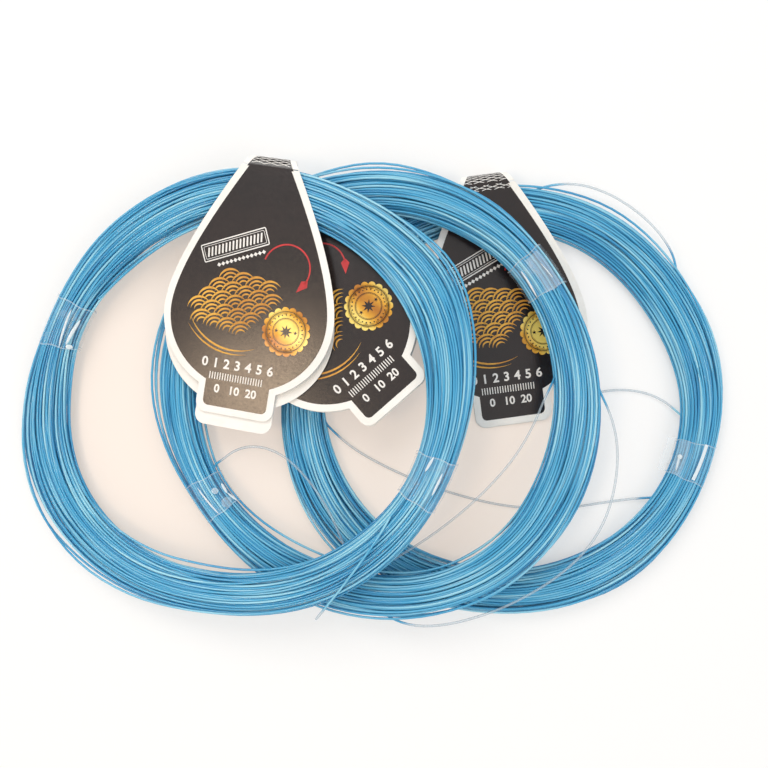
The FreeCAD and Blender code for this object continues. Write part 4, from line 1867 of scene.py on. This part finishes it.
def bottom_hank() -> Hank:
    """Gives the hank that lies flat on the surface."""
    return Hank(
        number=3, centre=(0.0505, -0.0024), lean=0.0, rest_height=0.0,
        stations=[
            (0, 0.077, 0.0178), (30, 0.0743, 0.0215), (60, 0.0741, 0.0212), (95, 0.0733, 0.0196),
            (130, 0.0743, 0.019), (154, 0.0752, 0.0172), (167, 0.0752, 0.0172),
            (188, 0.0764, 0.0216), (215, 0.077, 0.0234), (240, 0.0762, 0.0222),
            (262, 0.0742, 0.0189), (300, 0.0758, 0.02), (318, 0.0768, 0.0186),
            (335, 0.0766, 0.0156), (348, 0.0767, 0.0156)],
        bands=[Band("left", 160.5, 0.0148),
               Band("right", 341.5, 0.0148, [
                   Pleat(0.0006, 0.0016, 0.0140, 0.0013, 3, square=True),
                   Pleat(-0.0021, -0.0056, 0.0071, 0.0007, -5),
                   Pleat(0.0004, -0.0056, 0.0020, 0.0014),
                   Pleat(0.0, -0.0052, 0.0140, 0.0034, 0, 0.18, True)], flap=0.0033)],
        card=HeaderCard(
            angle=94.2, fold_from_centre=0.086, twist=3.5, pitch=0.0, back_gap=0.00005,
            front_body="card_3_front", lattice_reach=0.0072),
        stretches=[
            Stretch("line_3_outer_strand", Role.LOOP, [
                (0.0675, 0.0455, 0.0046), (0.0666, 0.0545, 0.0048), (0.0605, 0.0642, 0.0046),
                (0.0515, 0.0726, 0.0044), (0.041, 0.079, 0.0044), (0.0295, 0.0826, 0.0044),
                (0.0175, 0.082, 0.0042), (0.007, 0.077, 0.0042)]),
            Stretch("line_3_inner_strand", Role.LOOP, [
                (-0.0695, -0.0075, 0.0034), (-0.064, -0.0135, 0.0022), (-0.0565, -0.02, 0.001),
                (-0.045, -0.0265, 0.0006), (-0.0315, -0.0326, 0.0005), (-0.017, -0.0376, 0.0005),
                (-0.002, -0.0414, 0.0005), (0.013, -0.0432, 0.0005), (0.0275, -0.0428, 0.0005),
                (0.041, -0.0406, 0.0006), (0.0525, -0.039, 0.001), (0.062, -0.0384, 0.0022),
                (0.0705, -0.036, 0.0034)]),
            Stretch("line_3_cut_end", Role.END, [
                (0.0735, -0.01, 0.0032), (0.0693, -0.006, 0.0022), (0.0645, -0.0016, 0.0012),
                (0.0588, 0.0014, 0.0007), (0.052, 0.003, 0.0005), (0.0445, 0.0032, 0.0005),
                (0.0365, 0.0019, 0.0005), (0.028, -0.0006, 0.0005)])],
        strays=[Stray(306, 14, 0.0022), Stray(58, 18, 0.0016), Stray(20, 18, 0.0016),
                Stray(352, 16, 0.0012), Stray(280, 18, 0.0012), Stray(250, 18, -0.0010),
                Stray(120, 18, 0.0009), Stray(220, 18, 0.0012)],
        start_angle=160.5, end_angle=352.2)


# ---- floor, lamps and camera ------------------------------------------------------------------
@dataclass(frozen=True)
class Lamp:
    """A square area lamp that points at the middle of the set, with its power in watts."""

    name: str
    place: Point3
    size: float
    power: float
    colour: Point3

    def hang(self) -> None:
        """Makes the lamp."""
        light = bpy.data.lights.new(self.name, "AREA")
        light.size, light.energy, light.color = self.size, self.power, self.colour
        thing = bpy.data.objects.new(self.name, light)
        thing.location = self.place
        thing.rotation_euler = (-Vector(self.place)).to_track_quat("-Z", "Y").to_euler()
        bpy.context.scene.collection.objects.link(thing)


@dataclass(frozen=True)
class Studio:
    """A pale floor under soft lamps, seen from straight above."""

    camera_at: Point3 = (0.00555, 0.00305, 0.300)
    view_width: float = 0.2995
    sensor_width: float = 36.0
    floor_reach: float = 3.0
    floor_height: float = -0.0002
    floor_colour: Point3 = (0.985, 0.985, 0.98)
    ring_floor_colour: Point3 = (0.985, 0.875, 0.79)
    shadow_softening: float = 0.45
    sky_colour: Point3 = (1.0, 1.0, 1.0)
    sky_strength: float = 0.64
    lamps: tuple[Lamp, ...] = (
        Lamp("key", (-0.35, 0.85, 0.95), 0.7, 6.0, (1.0, 0.99, 0.97)),
        Lamp("fill", (0.75, -0.45, 0.85), 0.8, 2.5, (0.96, 0.98, 1.0)),
        Lamp("sheen", (-0.285, -0.065, 0.56), 0.15, 0.65, (1.0, 0.74, 0.50)))

    def build(self, shared: Shared, hanks: list[Hank]) -> None:
        """Makes the floor, the lamps, the world and the camera.

        Args:
            shared: the shared node groups.
            hanks: the rings; the floor is warmer inside the upper two.
        """
        self.build_floor(shared, hanks)
        self.build_world()
        for lamp in self.lamps:
            lamp.hang()
        camera = bpy.data.cameras.new("camera")
        camera.sensor_width = self.sensor_width
        camera.lens = self.sensor_width * self.camera_at[2] / self.view_width
        camera.clip_start = 0.01
        eye = bpy.data.objects.new("camera", camera)
        eye.location = self.camera_at
        scene = bpy.context.scene
        scene.collection.objects.link(eye)
        scene.camera = eye
        scene.view_settings.view_transform = "Standard"

    def build_floor(self, shared: Shared, hanks: list[Hank]) -> None:
        """Makes the pale floor, a little warmer inside the upper two rings.

        Args:
            shared: the shared node groups.
            hanks: the rings.
        """
        tree = ShaderTree("pale_floor")
        masks = []
        for hank in hanks[:2]:
            x, y, radius = hank.circle
            disc = tree.group(shared.round, Centre_X=x, Centre_Y=y,
                              Near=radius - 0.004, Far=radius + 0.006)
            masks.append(disc["Mask"])
        tint = tree.ramp(tree.calc("MULTIPLY", *masks),
                         [(0.0, self.ring_floor_colour), (1.0, self.floor_colour)])
        tree.set(Base_Color=tint, Roughness=0.9)
        # to every ray that shows it, the floor is part plain colour, which softens its shadows
        rays = tree.add("LightPath").outputs
        shown = rays["Is Camera Ray"]
        for name in ("Is Glossy Ray", "Is Transmission Ray"):
            shown = tree.calc("MAXIMUM", shown, rays[name])
        glow = tree.fill(tree.add("Emission"), Color=tint)
        blend = tree.add("MixShader")
        tree.feed(blend.inputs[0], tree.calc("MULTIPLY", shown, self.shadow_softening))
        tree.join(tree.shader.outputs[0], blend.inputs[1])
        tree.join(glow.outputs[0], blend.inputs[2])
        tree.join(blend.outputs[0], tree.tree.nodes["Material Output"].inputs["Surface"])
        reach, height = self.floor_reach, self.floor_height
        floor = mesh_object("floor", [(-reach, -reach, height), (reach, -reach, height),
                                      (reach, reach, height), (-reach, reach, height)],
                            [(0, 1, 2, 3)], tree.material, smooth=False)

    def build_world(self) -> None:
        """Makes the even white surroundings."""
        world = bpy.data.worlds.new("studio")
        world.use_nodes = True
        back = world.node_tree.nodes["Background"]
        back.inputs["Color"].default_value = (*self.sky_colour, 1)
        back.inputs["Strength"].default_value = self.sky_strength
        bpy.context.scene.world = world


def main() -> None:
    """Builds the set in order and reports each piece."""
    logging.basicConfig(level=logging.INFO, format="%(message)s")
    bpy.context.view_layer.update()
    finishes, patterns = Finishes(), Patterns()
    hanks = [top_hank(), middle_hank(), bottom_hank()]
    Studio().build(finishes.shared, hanks)
    for hank in hanks:
        hank.card.settle(hank)
        hank.wind(LineFinish().build(finishes.shared, hank))
        hank.tape(finishes.film)
        hank.card.dress(finishes, patterns)


if __name__ == "__main__":
    main()
